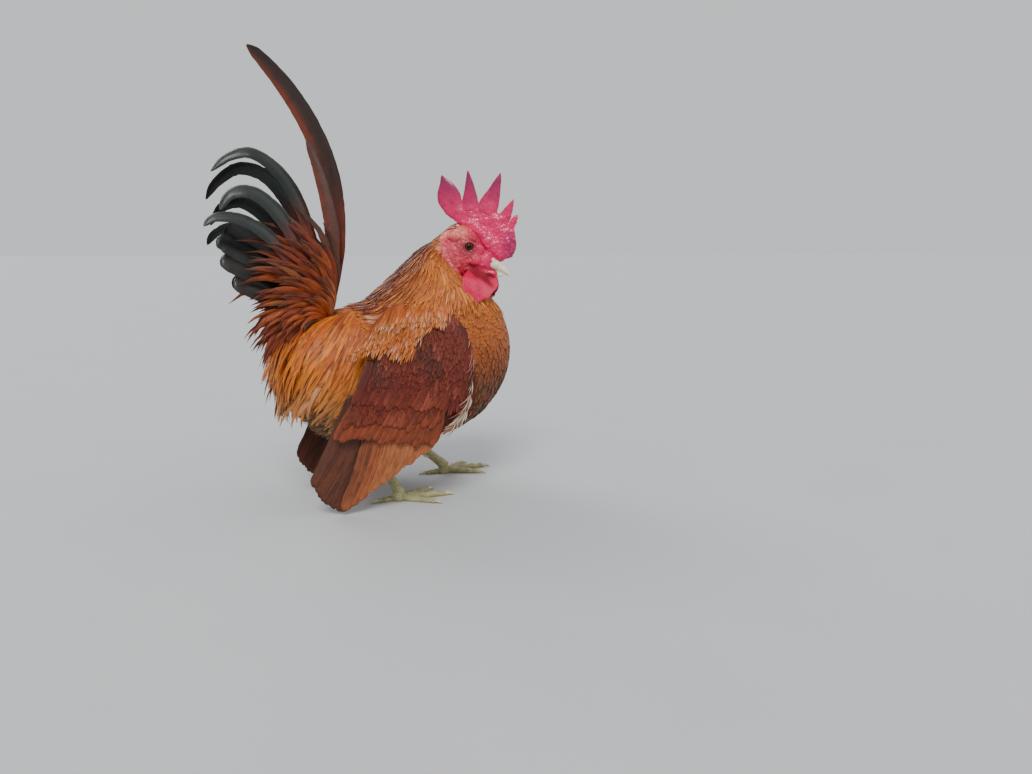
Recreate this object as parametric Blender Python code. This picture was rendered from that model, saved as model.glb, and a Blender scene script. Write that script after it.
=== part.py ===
"""A Serama bantam cock, standing, as a life-size still model.

Metres, +Z up, +X the way the body faces and +Y the bird's left. The soles stand on z = 0, and the
origin is on the floor under the middle of the whole bird. The head is modelled in its own frame,
beak along +X from the neck's pivot, and is then turned to the bird's right.
"""

import math

import bmesh
import bpy
from mathutils import Matrix, Vector
from mathutils.bvhtree import BVHTree

MM = 0.001
GAP = 0.3 * MM
SIDE = Vector((0, 1, 0))
RIGHT, LEFT = -1, 1
SIDE_NAMES = {RIGHT: "right", LEFT: "left"}

# The head turns about an upright axis through the top of the neck.
NECK_PIVOT = Vector((28 * MM, 0, 0))
HEAD_TURN = math.radians(-30)

# Trunk and neck: each rib is (back x, back z, belly x, belly z, half width) in millimetres.
TRUNK_RIBS = (
    (-99, 128, -102, 116, 7),
    (-91, 137, -99, 92, 22),
    (-78, 142, -91, 70, 33),
    (-64, 145, -72, 52, 40),
    (-53, 147, -38, 44, 44),
    (-46, 148, 4, 43, 46),
    (-40, 151, 40, 55, 46),
    (-34, 156, 64, 79, 44),
    (-27, 162, 73, 107, 41),
    (-18, 170, 69, 132, 37),
    (-8, 179, 60, 147, 31),
    (1, 187, 51, 156, 24),
    (9, 193.5, 42, 162.5, 17.5),
    (16, 199, 34, 167, 13),
)
NECK_FROM = 9
NECK_TO = len(TRUNK_RIBS) - 1
TRUNK_SIDES = 20
TRUNK_STEP = 0.5
NECK_STEP = 1

# Head ribs in the head's frame, from the neck to the beak's root.
HEAD_RIBS = (
    (-12, 199, 6, 167, 13),
    (-7, 204, 8, 166, 13.6),
    (0, 207.5, 11, 165.5, 13.8),
    (8, 209, 15, 166, 13.4),
    (15, 207.5, 19, 167, 12),
    (21, 201.5, 23.5, 168.5, 9.8),
    (26, 193.5, 27, 170.5, 7.6),
    (29.5, 187, 29.5, 172.5, 5.8),
)
HEAD_SIDES = 16

# Beak ribs in the head's frame; the two halves part along the line of the mouth.
UPPER_BEAK_RIBS = (
    (27, 190, 26, 177.3, 6.4),
    (32, 186.3, 31, 175.6, 5.6),
    (37, 182.6, 35.8, 174.2, 4.4),
    (41.5, 178.5, 40, 172.8, 3),
    (45, 174, 43.4, 170.8, 1.7),
    (46.6, 170.2, 46.2, 169.4, 0.5),
)
LOWER_BEAK_RIBS = (
    (26, 176.7, 26.5, 170.2, 5.9),
    (31, 175, 31, 169.2, 4.9),
    (35.6, 173.6, 35.2, 169, 3.6),
    (39.6, 172.2, 39.2, 169.6, 2),
    (42, 171.2, 41.8, 170.6, 0.7),
)
BEAK_SIDES = 10
NOSTRIL = Vector((31, 4.6, 181.6)) * MM
NOSTRIL_SIZE = Vector((1.7, 1.3, 0.8)) * MM

EYE = Vector((15.5, 9.4, 192.6)) * MM
EYE_RADIUS = 4.2 * MM
LID_RADIUS = 4.3 * MM
LID_THICKNESS = 1.1 * MM
LID_SEGMENTS, LID_SIDES = 12, 5
LID_STANDS_OUT = 2.2 * MM
EYE_FACING = (0.25, 1, 0.12)

EAR_LOBE = Vector((1.5, 12.6, 178.5)) * MM
EAR_LOBE_SIZE = Vector((5, 2.6, 7)) * MM

# The wattle is a leaf that hangs from the jaw: path in the head's frame, then widths along it.
WATTLE_PATH = ((24, 6.6, 176), (25, 7.2, 170), (26, 8, 164), (26.6, 8.6, 158), (26.8, 8.8, 153.5), (26.8, 8.8, 151))
WATTLE_WIDTHS = (20, 25, 26, 23, 15, 5)
# Thickness of the wattle along the same path.
WATTLE_THICKNESS = (2.6, 2.8, 3, 3.2, 3.4, 1.6)

# The comb: a ridge along the crown, and its points as (root x, root z, tip x, tip z, root width).
COMB_RIDGE = ((44.5, 184), (42.5, 192), (37, 201), (27, 208), (15, 212.5), (4, 216), (-4, 224))
COMB_RIDGE_WIDTHS = (7, 18, 27, 28, 27, 25, 15)
COMB_RIDGE_THICKNESS = (6.5, 6.1, 5.7, 5.3, 4.9, 4.6, 4.2)
COMB_POINTS = (
    (2, 219, -8, 247.5, 21),
    (15, 221, 13.5, 251, 14),
    (27, 219, 39, 249, 17),
    (37, 208, 49.5, 229, 11),
    (40, 199, 52, 217, 9),
)
# Shape of a point: share of its length, of its root width, and its thickness there.
COMB_POINT_SHAPE = ((0, 1, 5.2), (0.3, 0.86, 4.3), (0.6, 0.55, 3.2), (0.85, 0.27, 2.3), (1, 0.08, 1.2))
COMB_SIDES = 8
COMB_POINT_SIDES = 6

# Legs: (right, left) places of the foot's joint, the hock and the top of the drumstick.
FEET = {RIGHT: Vector((-27, -30, 7)) * MM, LEFT: Vector((27, 30, 7)) * MM}
HOCKS = {RIGHT: Vector((-42, -29, 34)) * MM, LEFT: Vector((-2, 29, 32)) * MM}
DRUMSTICK_TOPS = {RIGHT: Vector((-14, -25, 72)) * MM, LEFT: Vector((16, 25, 70)) * MM}
DRUMSTICK_RADII = (19, 18, 14, 9, 6)
SHANK_RADIUS = 3.9 * MM
SHANK_SIDES = 10
# Share of the way from hock to foot, and the shank's radius there as a share of SHANK_RADIUS.
SHANK_SWELL = ((0, 1.15), (0.12, 1.2), (0.35, 0.95), (0.7, 0.95), (0.9, 1.1), (1, 1.1))
SHANK_OVER_HOCK = 2 * MM
SPUR_PLACE = 0.62
SPUR_AIM = (-1, 0.45, -0.1)
# Distance out from the shank's middle, and the spur's radius there.
SPUR_SHAPE = ((1.5, 2), (5.7, 1.3), (8.5, 0.4))
SPUR_SIDES = 8
# The pad that the toes leave from: height above the floor and radius.
FOOT_PAD = ((0, 5.2), (2, 5.6), (5.2, 4.9), (6.6, 4.2))
FOOT_PAD_SIDES = 12

# Toes as (length, spread from straight ahead, radius at the root), hind toe last.
TOES = (
    (30 * MM, math.radians(-34), 2.7 * MM),
    (37 * MM, math.radians(-2), 2.9 * MM),
    (29 * MM, math.radians(31), 2.6 * MM),
    (15 * MM, math.radians(172), 2.3 * MM),
)
CLAW_LENGTH = 7 * MM
TOE_PAD = 0.78
TOE_ROOT = 1.5 * MM
# Share of a toe's length and its swelling there, thick at the root and at each joint.
TOE_SWELL = (
    (0, 1.1), (0.2, 0.98), (0.36, 0.82), (0.5, 0.9), (0.66, 0.7), (0.8, 0.77), (0.96, 0.64),
)
# Share of the claw's length, its rise from the toe's end, and its radius, both in toe radii.
CLAW_SHAPE = ((0.3, 0.1, 0.62), (0.65, -0.1, 0.42), (1, -0.62, 0.12))
CLAW_LOWEST = 0.35 * MM
TOE_SIDES = 6
FOOT_TURN = {RIGHT: math.radians(-6), LEFT: math.radians(8)}

# Wing arm: ribs from the shoulder to the wrist as (front x, front z, rear x, rear z, thickness).
WING_RIBS = (
    (6, 153, -14, 151, 8),
    (20, 146, -30, 142, 15),
    (28, 130, -40, 126, 19),
    (30, 108, -47, 108, 20),
    (27, 88, -55, 92, 18),
    (18, 72, -63, 76, 14),
    (6, 60, -69, 64, 9),
    (-1, 54, -71, 59, 5),
)
WING_OUT = 57 * MM
# The outer face falls towards the body away from here: (x or z it starts at, run, fall over the run).
WING_FALL_AFT = (-12, 95, 8)
WING_FALL_FORE = (2, 28, 7)
WING_FALL_HIGH = (90, 64, 22)
WING_EDGE_DROP = 2.2 * MM
WING_SIDES = 14
WING_FEATHER_BOW = 0.05
TAIL_COVERT_BEND = math.radians(24)

# The saddle's core is the part of the trunk behind and above these planes.
SADDLE_FRONT = -37 * MM
SADDLE_FLOOR = 86 * MM
SADDLE_BOX_REACH = 300 * MM

VANE_ROOT_THICKNESS = 0.8 * MM
VANE_TIP_THICKNESS = 0.55 * MM
VANE_APART = 0.3 * MM
DEEPEST_PUSH = 12 * MM
# Where a feather meets another, it is tried again as (share of its width, lift in millimetres).
VANE_TRIES = ((1, 0), (0.88, 0), (1, 0.7), (0.75, 0), (0.88, 1.3), (0.62, 0), (0.7, 2))

# Shape of a vane: shares of its length, and the width at each as a share of its widest.
LANCE = ((0, 0.6), (0.2, 0.85), (0.62, 1), (1, 0.1))
POINTED = ((0, 0.55), (0.38, 1), (0.74, 0.85), (1, 0.12))
ROUNDED = ((0, 0.6), (0.5, 1), (0.86, 0.86), (1, 0.4))
QUILL = ((0, 0.45), (0.3, 0.9), (0.65, 1), (0.9, 0.75), (1, 0.28))

# Hem of the hackle: the place along the trunk where the lowest tips lie, by angle from the back.
HACKLE_HEM = ((0, 3.9), (30, 4.8), (60, 6.1), (80, 7.7), (95, 8.3), (130, 9.1), (180, 9.5))
HACKLE_COUNTS = (18, 16, 14, 12, 9)
HACKLE_TIER_STEP = 13 * MM
HACKLE_LENGTH = 37 * MM
HACKLE_SHORTEST = 20 * MM
HACKLE_WIDTH = 11 * MM
HACKLE_ROOM = 0.95
HACKLE_LOWEST_ROOT = 0.7
HACKLE_OVER_ARM = 0.9 * MM
HACKLE_MIDDLE = 0.62
# Height of a feather's midrib over the body by distance from its root, in millimetres.
HACKLE_HEIGHTS = ((0, -1.3), (7, 1.1), (60, 6))

# Saddle tiers: place along the trunk, angles from the back of the first and last root, count,
# length, widest width, and how far the feathers aim down the side and up rather than to the rear.
SADDLE_TIERS = (
    (4.1, 8, 60, 6, 56, 9.5, 0.8, 0),
    (3.3, 4, 68, 7, 56, 9.5, 0.6, 0),
    (2.5, 8, 74, 6, 54, 9.5, 0.5, 0),
    (1.7, 14, 82, 5, 48, 9.5, 0.35, 0.2),
    (0.9, 20, 92, 5, 42, 9.5, 0.25, 0.5),
    (2.8, 72, 88, 3, 42, 9.5, 0.9, 0),
    (1.9, 84, 100, 3, 40, 9, 0.7, 0),
)
SADDLE_HEIGHTS = ((0, -1.3), (7, 1.1), (60, 6.4))
SADDLE_SAG = 0.1

# Wing feathers in side view: first root, last root, first tip, last tip, count, widest, height
# of root and tip above the arm's outer face, and the roll that lifts one edge over the next.
WING_TIERS = (
    (QUILL, (-44, 84), (-64, 88), (-74, 2.5), (-97, 10), 6, 10.5, -6.2, -5.7, 15),
    (QUILL, (-6, 68), (-46, 84), (-13, 47), (-71, 3.5), 7, 12.5, -3.0, -2.6, 11),
    (ROUNDED, (0, 82), (-58, 92), (-9, 53), (-76, 60), 8, 11, -0.9, 1.9, 9),
    (ROUNDED, (10, 103), (-50, 112), (-4, 75), (-67, 82), 8, 10.5, -0.9, 2.1, 9),
)

TAIL_ROOT = Vector((-72, 0, 140)) * MM
TAIL_ROOT_SIZE = Vector((15, 16, 14)) * MM

# Tail feathers of one side in side view: distance of root and tip from the middle plane, widest
# width, then the midrib from root to tip.
SICKLE = ((0, 0.5), (0.15, 0.8), (0.4, 1), (0.7, 0.7), (0.9, 0.5), (1, 0.16))
TAIL_FEATHERS = (
    (LEFT, SICKLE, 3, 4, 17, ((-70, 146), (-63, 185), (-62, 218), (-67, 250), (-77, 278), (-92, 303), (-108, 322), (-118, 331))),
    (RIGHT, SICKLE, 4, 9, 14, ((-71, 146), (-66, 180), (-66, 205), (-70, 230), (-76, 252), (-82, 268))),
    (RIGHT, SICKLE, 6.5, 15, 12, ((-74, 146), (-80, 190), (-88, 220), (-101, 243), (-119, 256), (-135, 253), (-147, 243))),
    (LEFT, SICKLE, 6, 14, 12, ((-74, 146), (-82, 192), (-93, 222), (-108, 242), (-127, 248), (-143, 238), (-151, 226))),
    (RIGHT, SICKLE, 9, 20, 13, ((-76, 145), (-89, 186), (-103, 214), (-120, 229), (-135, 228), (-143, 217))),
    (LEFT, SICKLE, 9, 19, 12, ((-76, 145), (-91, 184), (-107, 210), (-125, 224), (-140, 221), (-149, 208))),
    (RIGHT, SICKLE, 11.5, 24, 11, ((-78, 144), (-95, 178), (-112, 200), (-130, 211), (-146, 212), (-154, 206))),
    (LEFT, SICKLE, 11.5, 23, 11, ((-78, 144), (-96, 176), (-114, 196), (-132, 206), (-146, 202), (-152, 194))),
    (RIGHT, QUILL, 2.5, 5, 17, ((-80, 143), (-100, 166), (-122, 184), (-146, 198))),
    (LEFT, QUILL, 2.5, 5, 17, ((-80, 143), (-99, 169), (-118, 190), (-139, 207))),
    (RIGHT, QUILL, 5, 10, 16, ((-81, 141), (-103, 160), (-124, 174), (-144, 184))),
    (LEFT, QUILL, 5, 10, 16, ((-81, 141), (-103, 160), (-124, 174), (-144, 184))),
    (RIGHT, QUILL, 7.5, 15, 15, ((-82, 139), (-103, 152), (-120, 161), (-137, 168))),
    (LEFT, QUILL, 7.5, 15, 15, ((-82, 139), (-103, 152), (-120, 161), (-137, 168))),
)
# Tail coverts of each side: first and last heading up from the rear, length, width, distance of
# root and tip from the middle plane, count.
TAIL_COVERTS = (
    (64, 102, 68, 11, 9, 22, 4),
    (30, 98, 50, 11, 10.5, 27, 5),
    (18, 104, 36, 11, 11.5, 29, 5),
)

TAIL_THICKNESS = 1.3

COLOURS = {
    "feather_orange": ((0.50, 0.20, 0.05), 0.6),
    "feather_red": ((0.22, 0.055, 0.03), 0.55),
    "feather_brown": ((0.30, 0.13, 0.06), 0.6),
    "feather_black": ((0.03, 0.028, 0.028), 0.4),
    "comb_red": ((0.72, 0.09, 0.15), 0.5),
    "lobe_pink": ((0.80, 0.42, 0.40), 0.55),
    "beak_horn": ((0.80, 0.76, 0.66), 0.4),
    "eye_amber": ((0.10, 0.02, 0.015), 0.1),
    "leg_olive": ((0.52, 0.49, 0.30), 0.55),
}


def clear_scene():
    for obj in list(bpy.data.objects):
        bpy.data.objects.remove(obj)


def material(name):
    found = bpy.data.materials.get(name)
    if found:
        return found
    made = bpy.data.materials.new(name)
    made.use_nodes = True
    shader = made.node_tree.nodes["Principled BSDF"]
    colour, roughness = COLOURS[name]
    shader.inputs["Base Color"].default_value = (*colour, 1)
    shader.inputs["Roughness"].default_value = roughness
    shader.inputs["Metallic"].default_value = 0
    return made


def add_object(name, bm, colour=None):
    """A mesh object from a bmesh, which is freed."""
    mesh = bpy.data.meshes.new(name)
    bm.to_mesh(mesh)
    bm.free()
    obj = bpy.data.objects.new(name, mesh)
    bpy.context.scene.collection.objects.link(obj)
    if colour:
        mesh.materials.append(material(colour))
    return obj


def finish_node(obj, colour, sharp=math.radians(50)):
    """Gives a node its material and its smooth shading."""
    obj.data.materials.clear()
    obj.data.materials.append(material(colour))
    obj.data.shade_smooth()
    obj.data.set_sharp_from_angle(angle=sharp)
    return obj


def remove(objects):
    for obj in objects:
        bpy.data.objects.remove(obj)


def boolean(obj, others, operation, feathered=False):
    """Joins obj with the others, or cuts them from it, in one step, and removes the others.

    A feathered node holds many thin crossing bodies, where only the manifold solver leaves no open edge.
    """
    group = bpy.data.collections.new("pieces")
    bpy.context.scene.collection.children.link(group)
    for other in others:
        group.objects.link(other)
    modifier = obj.modifiers.new("boolean", "BOOLEAN")
    modifier.operation = operation
    modifier.operand_type = "COLLECTION"
    modifier.collection = group
    modifier.solver = "MANIFOLD" if feathered else "EXACT"
    graph = bpy.context.evaluated_depsgraph_get()
    result = bpy.data.meshes.new_from_object(obj.evaluated_get(graph))
    obj.modifiers.clear()
    obj.data = result
    remove(others)
    bpy.data.collections.remove(group)
    keep_largest(obj)
    return obj


def keep_largest(obj):
    """Leaves only the closed surface that holds most, so no sealed hollow or loose scrap stays."""
    bm = bmesh.new()
    bm.from_mesh(obj.data)
    bmesh.ops.triangulate(bm, faces=bm.faces)
    islands = []
    unseen = set(bm.faces)
    while unseen:
        island = [unseen.pop()]
        for face in island:
            for edge in face.edges:
                for other in edge.link_faces:
                    if other in unseen:
                        unseen.remove(other)
                        island.append(other)
        volume = 0
        for face in island:
            a, b, c = (v.co for v in face.verts)
            volume += a.dot(b.cross(c)) / 6
        islands.append((volume, island))
    islands.sort(key=lambda item: item[0])
    loose = [face for _, island in islands[:-1] for face in island]
    bmesh.ops.delete(bm, geom=loose, context="FACES")
    bm.to_mesh(obj.data)
    bm.free()


def between(rows, place):
    """The row at a place along a list of rows, on a Catmull-Rom curve through them."""
    last = len(rows) - 1
    first = min(int(place), last - 1)
    t = place - first
    near = (rows[max(first - 1, 0)], rows[first], rows[first + 1], rows[min(first + 2, last)])
    return [
        0.5 * (2 * q + (r - p) * t + (2 * p - 5 * q + 4 * r - s) * t**2 + (3 * q - p - 3 * r + s) * t**3)
        for p, q, r, s in zip(*near)
    ]


def smooth_step(value, low, high):
    t = min(max((value - low) / (high - low), 0), 1)
    return t * t * (3 - 2 * t)


def rib_point(row, angle, grow=0.0):
    """A point of the ellipse in the plane through a rib's back point and belly point.

    The angle is measured from the back towards the bird's left.
    """
    back = Vector((row[0], 0, row[1])) * MM
    belly = Vector((row[2], 0, row[3])) * MM
    half = (back - belly) / 2
    up = half.normalized() * (half.length + grow) * math.cos(angle)
    return (back + belly) / 2 + up + SIDE * (row[4] * MM + grow) * math.sin(angle)


def rib_ring(row, sides, grow=0.0):
    return [rib_point(row, 2 * math.pi * k / sides, grow) for k in range(sides)]


def loft(rings):
    """A closed skin through rings of points, with a flat cap at each end."""
    bm = bmesh.new()
    loops = [[bm.verts.new(point) for point in ring] for ring in rings]
    for near, far in zip(loops, loops[1:]):
        for k in range(len(near)):
            bm.faces.new((near[k - 1], near[k], far[k], far[k - 1]))
    bm.faces.new(loops[0])
    bm.faces.new(loops[-1])
    bmesh.ops.recalc_face_normals(bm, faces=bm.faces)
    return bm


def places(start, end, step):
    """Evenly spaced places from start to end."""
    count = max(1, round((end - start) / step))
    return [start + (end - start) * k / count for k in range(count + 1)]


def neck_turn(place):
    """How far the head's turn has reached at a place along the trunk."""
    return HEAD_TURN * smooth_step(place, NECK_FROM, NECK_TO)


def turned(points, angle):
    """Points turned about the neck's pivot."""
    turn = Matrix.Rotation(angle, 3, "Z")
    return [turn @ (point - NECK_PIVOT) + NECK_PIVOT for point in points]


def trunk_rings(start, end, step=TRUNK_STEP, grow=0.0):
    return [
        turned(rib_ring(between(TRUNK_RIBS, place), TRUNK_SIDES, grow), neck_turn(place))
        for place in places(start, end, step)
    ]


def plane_normal(ring):
    """The direction that a trunk ring's plane faces, towards the head."""
    quarter = len(ring) // 4
    normal = (ring[0] - ring[2 * quarter]).cross(ring[quarter] - ring[3 * quarter]).normalized()
    return normal if normal.z > 0 else -normal


def shifted(ring, distance):
    offset = plane_normal(ring) * distance
    return [point + offset for point in ring]


def to_body(points):
    """Points of the head's frame, in metres, put on the turned neck."""
    return turned([Vector(point) + NECK_PIVOT for point in points], HEAD_TURN)


def head_ribs(rows, sides, grow=0.0, per_row=1):
    return [
        to_body(rib_ring(between(rows, place), sides, grow))
        for place in places(0, len(rows) - 1, 1 / per_row)
    ]


def ellipsoid(centre, size, grow=0.0, segments=12, rings=7):
    """An ellipsoid in the head's frame: centre and half sizes."""
    bm = bmesh.new()
    bmesh.ops.create_uvsphere(bm, u_segments=segments, v_segments=rings, radius=1)
    for vert in bm.verts:
        scaled = Vector([(s + grow) * c for s, c in zip(size, vert.co)])
        vert.co = to_body([centre + scaled])[0]
    bmesh.ops.recalc_face_normals(bm, faces=bm.faces)
    return bm


def leaf(path, widths, thicknesses, face, grow=0.0, sides=10):
    """A flat lobe along a path: each ring is a thin ellipse, wide across the path.

    face is the direction that the lobe's flat side looks in.
    """
    rings = []
    for k, point in enumerate(path):
        before = path[max(k - 1, 0)]
        after = path[min(k + 1, len(path) - 1)]
        along = (after - before).normalized()
        across = along.cross(face).normalized()
        out = across.cross(along).normalized()
        ring = []
        for j in range(sides):
            angle = 2 * math.pi * j / sides
            wide = across * (widths[k] / 2 + grow) * math.cos(angle)
            ring.append(point + wide + out * (thicknesses[k] / 2 + grow) * math.sin(angle))
        rings.append(ring)
    return loft(rings)


def mirrored(point, side):
    """A point of the head's frame given for the left, on the side asked for."""
    return Vector((point[0], point[1] * side, point[2]))


def head_core(grow=0.0):
    rings = head_ribs(HEAD_RIBS, HEAD_SIDES, grow)
    rings[0] = shifted(rings[0], GAP if grow == 0 else -grow)
    return add_object("head", loft(rings))


def eyelid(side):
    """A ring round the eye, facing out, that the head joins."""
    bm = bmesh.new()
    outward = mirrored(EYE_FACING, side).normalized()
    turn = outward.to_track_quat("Z", "Y")
    centre = mirrored(EYE, side) + outward * LID_STANDS_OUT
    rings = []
    for k in range(LID_SEGMENTS):
        angle = 2 * math.pi * k / LID_SEGMENTS
        spoke = Vector((math.cos(angle), math.sin(angle), 0))
        ring = []
        for j in range(LID_SIDES):
            turn_in = 2 * math.pi * j / LID_SIDES
            radius = LID_RADIUS + LID_THICKNESS * math.cos(turn_in)
            local = spoke * radius + Vector((0, 0, LID_THICKNESS * math.sin(turn_in)))
            ring.append(bm.verts.new(to_body([centre + turn @ local])[0]))
        rings.append(ring)
    for k in range(LID_SEGMENTS):
        near, far = rings[k - 1], rings[k]
        for j in range(LID_SIDES):
            bm.faces.new((near[j - 1], near[j], far[j], far[j - 1]))
    bmesh.ops.recalc_face_normals(bm, faces=bm.faces)
    return add_object("lid", bm)


def build_head():
    head = head_core()
    lids = [eyelid(side) for side in (RIGHT, LEFT)]
    boolean(head, lids, "UNION")
    sockets = [
        add_object("socket", ellipsoid(mirrored(EYE, side), Vector([EYE_RADIUS] * 3), GAP))
        for side in (RIGHT, LEFT)
    ]
    boolean(head, sockets, "DIFFERENCE")
    return finish_node(head, "comb_red")


def build_eyes():
    for side in (RIGHT, LEFT):
        bm = ellipsoid(mirrored(EYE, side), Vector([EYE_RADIUS] * 3))
        finish_node(add_object(f"eye_{SIDE_NAMES[side]}", bm), "eye_amber")


def beak_half(name, rows, grow=0.0):
    rings = head_ribs(rows, BEAK_SIDES, grow)
    return add_object(name, loft(rings))


def build_beak():
    """Both halves start inside the head and are cut back to its face."""
    upper = beak_half("beak_upper", UPPER_BEAK_RIBS)
    lower = beak_half("beak_lower", LOWER_BEAK_RIBS)
    nostrils = []
    for side in (RIGHT, LEFT):
        hollow = ellipsoid(mirrored(NOSTRIL, side), NOSTRIL_SIZE, segments=8, rings=6)
        nostrils.append(add_object("nostril", hollow))
    boolean(upper, [head_core(GAP), *nostrils], "DIFFERENCE")
    boolean(lower, [head_core(GAP)], "DIFFERENCE")
    finish_node(upper, "beak_horn")
    finish_node(lower, "beak_horn")


def ear_lobe(side, grow=0.0):
    bm = ellipsoid(mirrored(EAR_LOBE, side), EAR_LOBE_SIZE, grow)
    return add_object(f"ear_lobe_{SIDE_NAMES[side]}", bm)


def build_ear_lobes():
    for side in (RIGHT, LEFT):
        lobe = ear_lobe(side)
        boolean(lobe, [head_core(GAP)], "DIFFERENCE")
        finish_node(lobe, "lobe_pink")


def wattle_leaf(side, grow=0.0):
    path = to_body([mirrored(point, side) * MM for point in WATTLE_PATH])
    widths = [width * MM for width in WATTLE_WIDTHS]
    thick = [thickness * MM for thickness in WATTLE_THICKNESS]
    face = Matrix.Rotation(HEAD_TURN, 3, "Z") @ SIDE
    return add_object(f"wattle_{SIDE_NAMES[side]}", leaf(path, widths, thick, face, grow, 10))


def build_wattles():
    for side in (RIGHT, LEFT):
        wattle = wattle_leaf(side)
        cutters = [
            head_core(GAP),
            beak_half("cutter", UPPER_BEAK_RIBS, GAP),
            beak_half("cutter", LOWER_BEAK_RIBS, GAP),
        ]
        boolean(wattle, cutters, "DIFFERENCE")
        finish_node(wattle, "comb_red")


def flat_path(points):
    """Points (x, z) of the head's middle plane, in millimetres, put on the turned neck."""
    return to_body([Vector((x, 0, z)) * MM for x, z in points])


def build_comb():
    """A thick ridge on the crown with tapering points, less what the head and beak fill."""
    face = Matrix.Rotation(HEAD_TURN, 3, "Z") @ SIDE
    thick = [thickness * MM for thickness in COMB_RIDGE_THICKNESS]
    widths = [width * MM for width in COMB_RIDGE_WIDTHS]
    comb = add_object("comb", leaf(flat_path(COMB_RIDGE), widths, thick, face, sides=COMB_SIDES))
    points = []
    for root_x, root_z, tip_x, tip_z, width in COMB_POINTS:
        along = [(root_x + (tip_x - root_x) * s, root_z + (tip_z - root_z) * s) for s, _, _ in COMB_POINT_SHAPE]
        taper = [width * MM * share for _, share, _ in COMB_POINT_SHAPE]
        thick = [thickness * MM for _, _, thickness in COMB_POINT_SHAPE]
        point = leaf(flat_path(along), taper, thick, face, sides=COMB_POINT_SIDES)
        points.append(add_object("point", point))
    boolean(comb, points, "UNION")
    cutters = [head_core(GAP), beak_half("cutter", UPPER_BEAK_RIBS, GAP)]
    boolean(comb, cutters, "DIFFERENCE")
    finish_node(comb, "comb_red")


def torso_core(grow=0.0):
    return add_object("torso", loft(trunk_rings(0, NECK_FROM, grow=grow)))


def neck_core(grow=0.0):
    """The neck from its root on the torso to the head; its first ring stands off by the gap."""
    rings = trunk_rings(NECK_FROM, NECK_TO, NECK_STEP, grow)
    if grow == 0:
        rings[0] = shifted(rings[0], GAP)
    return add_object("neck", loft(rings))


def trunk_point(place, angle, height=0.0):
    """A point over the trunk's surface; places past the rump's end follow its last slope."""
    point = rib_point(between(TRUNK_RIBS, place), angle, height)
    return turned([point], neck_turn(place))[0]


def vane_mesh(path, outs, halves, thicks, grow=0.0):
    """A flat feather as one closed body, both faces split along the same lines.

    path is its midrib, outs the way its upper face looks, halves its half widths.
    """
    last = len(path) - 1
    bm = bmesh.new()
    stations = []
    for k, point in enumerate(path):
        along = (path[min(k + 1, last)] - path[max(k - 1, 0)]).normalized()
        across = along.cross(outs[k]).normalized() * (halves[k] + grow)
        lift = across.cross(along).normalized() * (thicks[k] / 2 + grow)
        middle = point + along * grow * (-1 if k == 0 else 1 if k == last else 0)
        corners = (across + lift, lift - across, -across - lift, across - lift)
        stations.append([bm.verts.new(middle + corner) for corner in corners])
    for near, far in zip(stations, stations[1:]):
        for j in range(4):
            a, b, c, d = near[j], near[(j + 1) % 4], far[(j + 1) % 4], far[j]
            for face in ((a, b, d), (b, c, d)) if j == 2 else ((a, b, c), (a, c, d)):
                bm.faces.new(face)
    for a, b, c, d in (stations[0], stations[-1]):
        bm.faces.new((a, b, c))
        bm.faces.new((a, c, d))
    bmesh.ops.recalc_face_normals(bm, faces=bm.faces)
    return bm


class Vane:
    """One feather: its midrib, the way it faces, and its width and thickness along it."""

    def __init__(self, path, outs, widest, shape, thickness=1.0):
        count = len(path)
        shares = [share for share, _ in shape]
        if count != len(shape):
            shares = [k / (count - 1) for k in range(count)]
        self.path, self.outs = path, outs
        self.halves = [width_at(shape, share) * widest / 2 for share in shares]
        slimmer = VANE_TIP_THICKNESS - VANE_ROOT_THICKNESS
        self.thicks = [(VANE_ROOT_THICKNESS + slimmer * share) * thickness for share in shares]

    def changed(self, width, lift):
        """A copy with other widths, lifted off the body from its second station on."""
        copy = Vane.__new__(Vane)
        raised = [out * lift * (k > 0) for k, out in enumerate(self.outs)]
        copy.path = [point + up for point, up in zip(self.path, raised)]
        copy.outs, copy.thicks = self.outs, self.thicks
        copy.halves = [half * width for half in self.halves]
        return copy

    def mesh(self, first=0, grow=0.0):
        return vane_mesh(self.path[first:], self.outs[first:], self.halves[first:], self.thicks[first:], grow)

    def body(self, grow=0.0):
        return add_object("vane", self.mesh(grow=grow))

    def tree(self, grow=0.0, first=1):
        """A search tree of the feather, without its root unless first is 0."""
        bm = self.mesh(first, grow)
        tree = BVHTree.FromBMesh(bm)
        bm.free()
        return tree


def settle(vanes, others=()):
    """The feathers that can lie clear of each other, roots aside, and of another node's."""
    settled, trees = [], []
    foreign = [other.tree(first=0) for other in others]
    for wanted in vanes:
        for width, lift in VANE_TRIES:
            tried = wanted.changed(width, lift * MM)
            around = tried.tree(VANE_APART)
            whole = tried.tree(VANE_APART, 0)
            meets = any(around.overlap(tree) for tree in trees)
            if not meets and not any(whole.overlap(tree) for tree in foreign):
                settled.append(tried)
                trees.append(tried.tree())
                break
    return settled


def joined(core, vanes, grow=0.0):
    return boolean(core, [feather.body(grow) for feather in vanes], "UNION", feathered=True)


def height_at(heights, distance):
    """Height over the body at a distance from a feather's root, both in metres."""
    return width_at(heights, distance / MM) * MM


def width_at(shape, share):
    for (start, low), (end, high) in zip(shape, shape[1:]):
        if share <= end:
            return low + (high - low) * (share - start) / (end - start)
    return shape[-1][1]


def guide(objects):
    """A search tree over some closed meshes, which are removed."""
    corners, faces = [], []
    for obj in objects:
        first = len(corners)
        corners.extend(vert.co.copy() for vert in obj.data.vertices)
        faces.extend([first + i for i in face.vertices] for face in obj.data.polygons)
    remove(objects)
    return BVHTree.FromPolygons(corners, faces)


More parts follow.
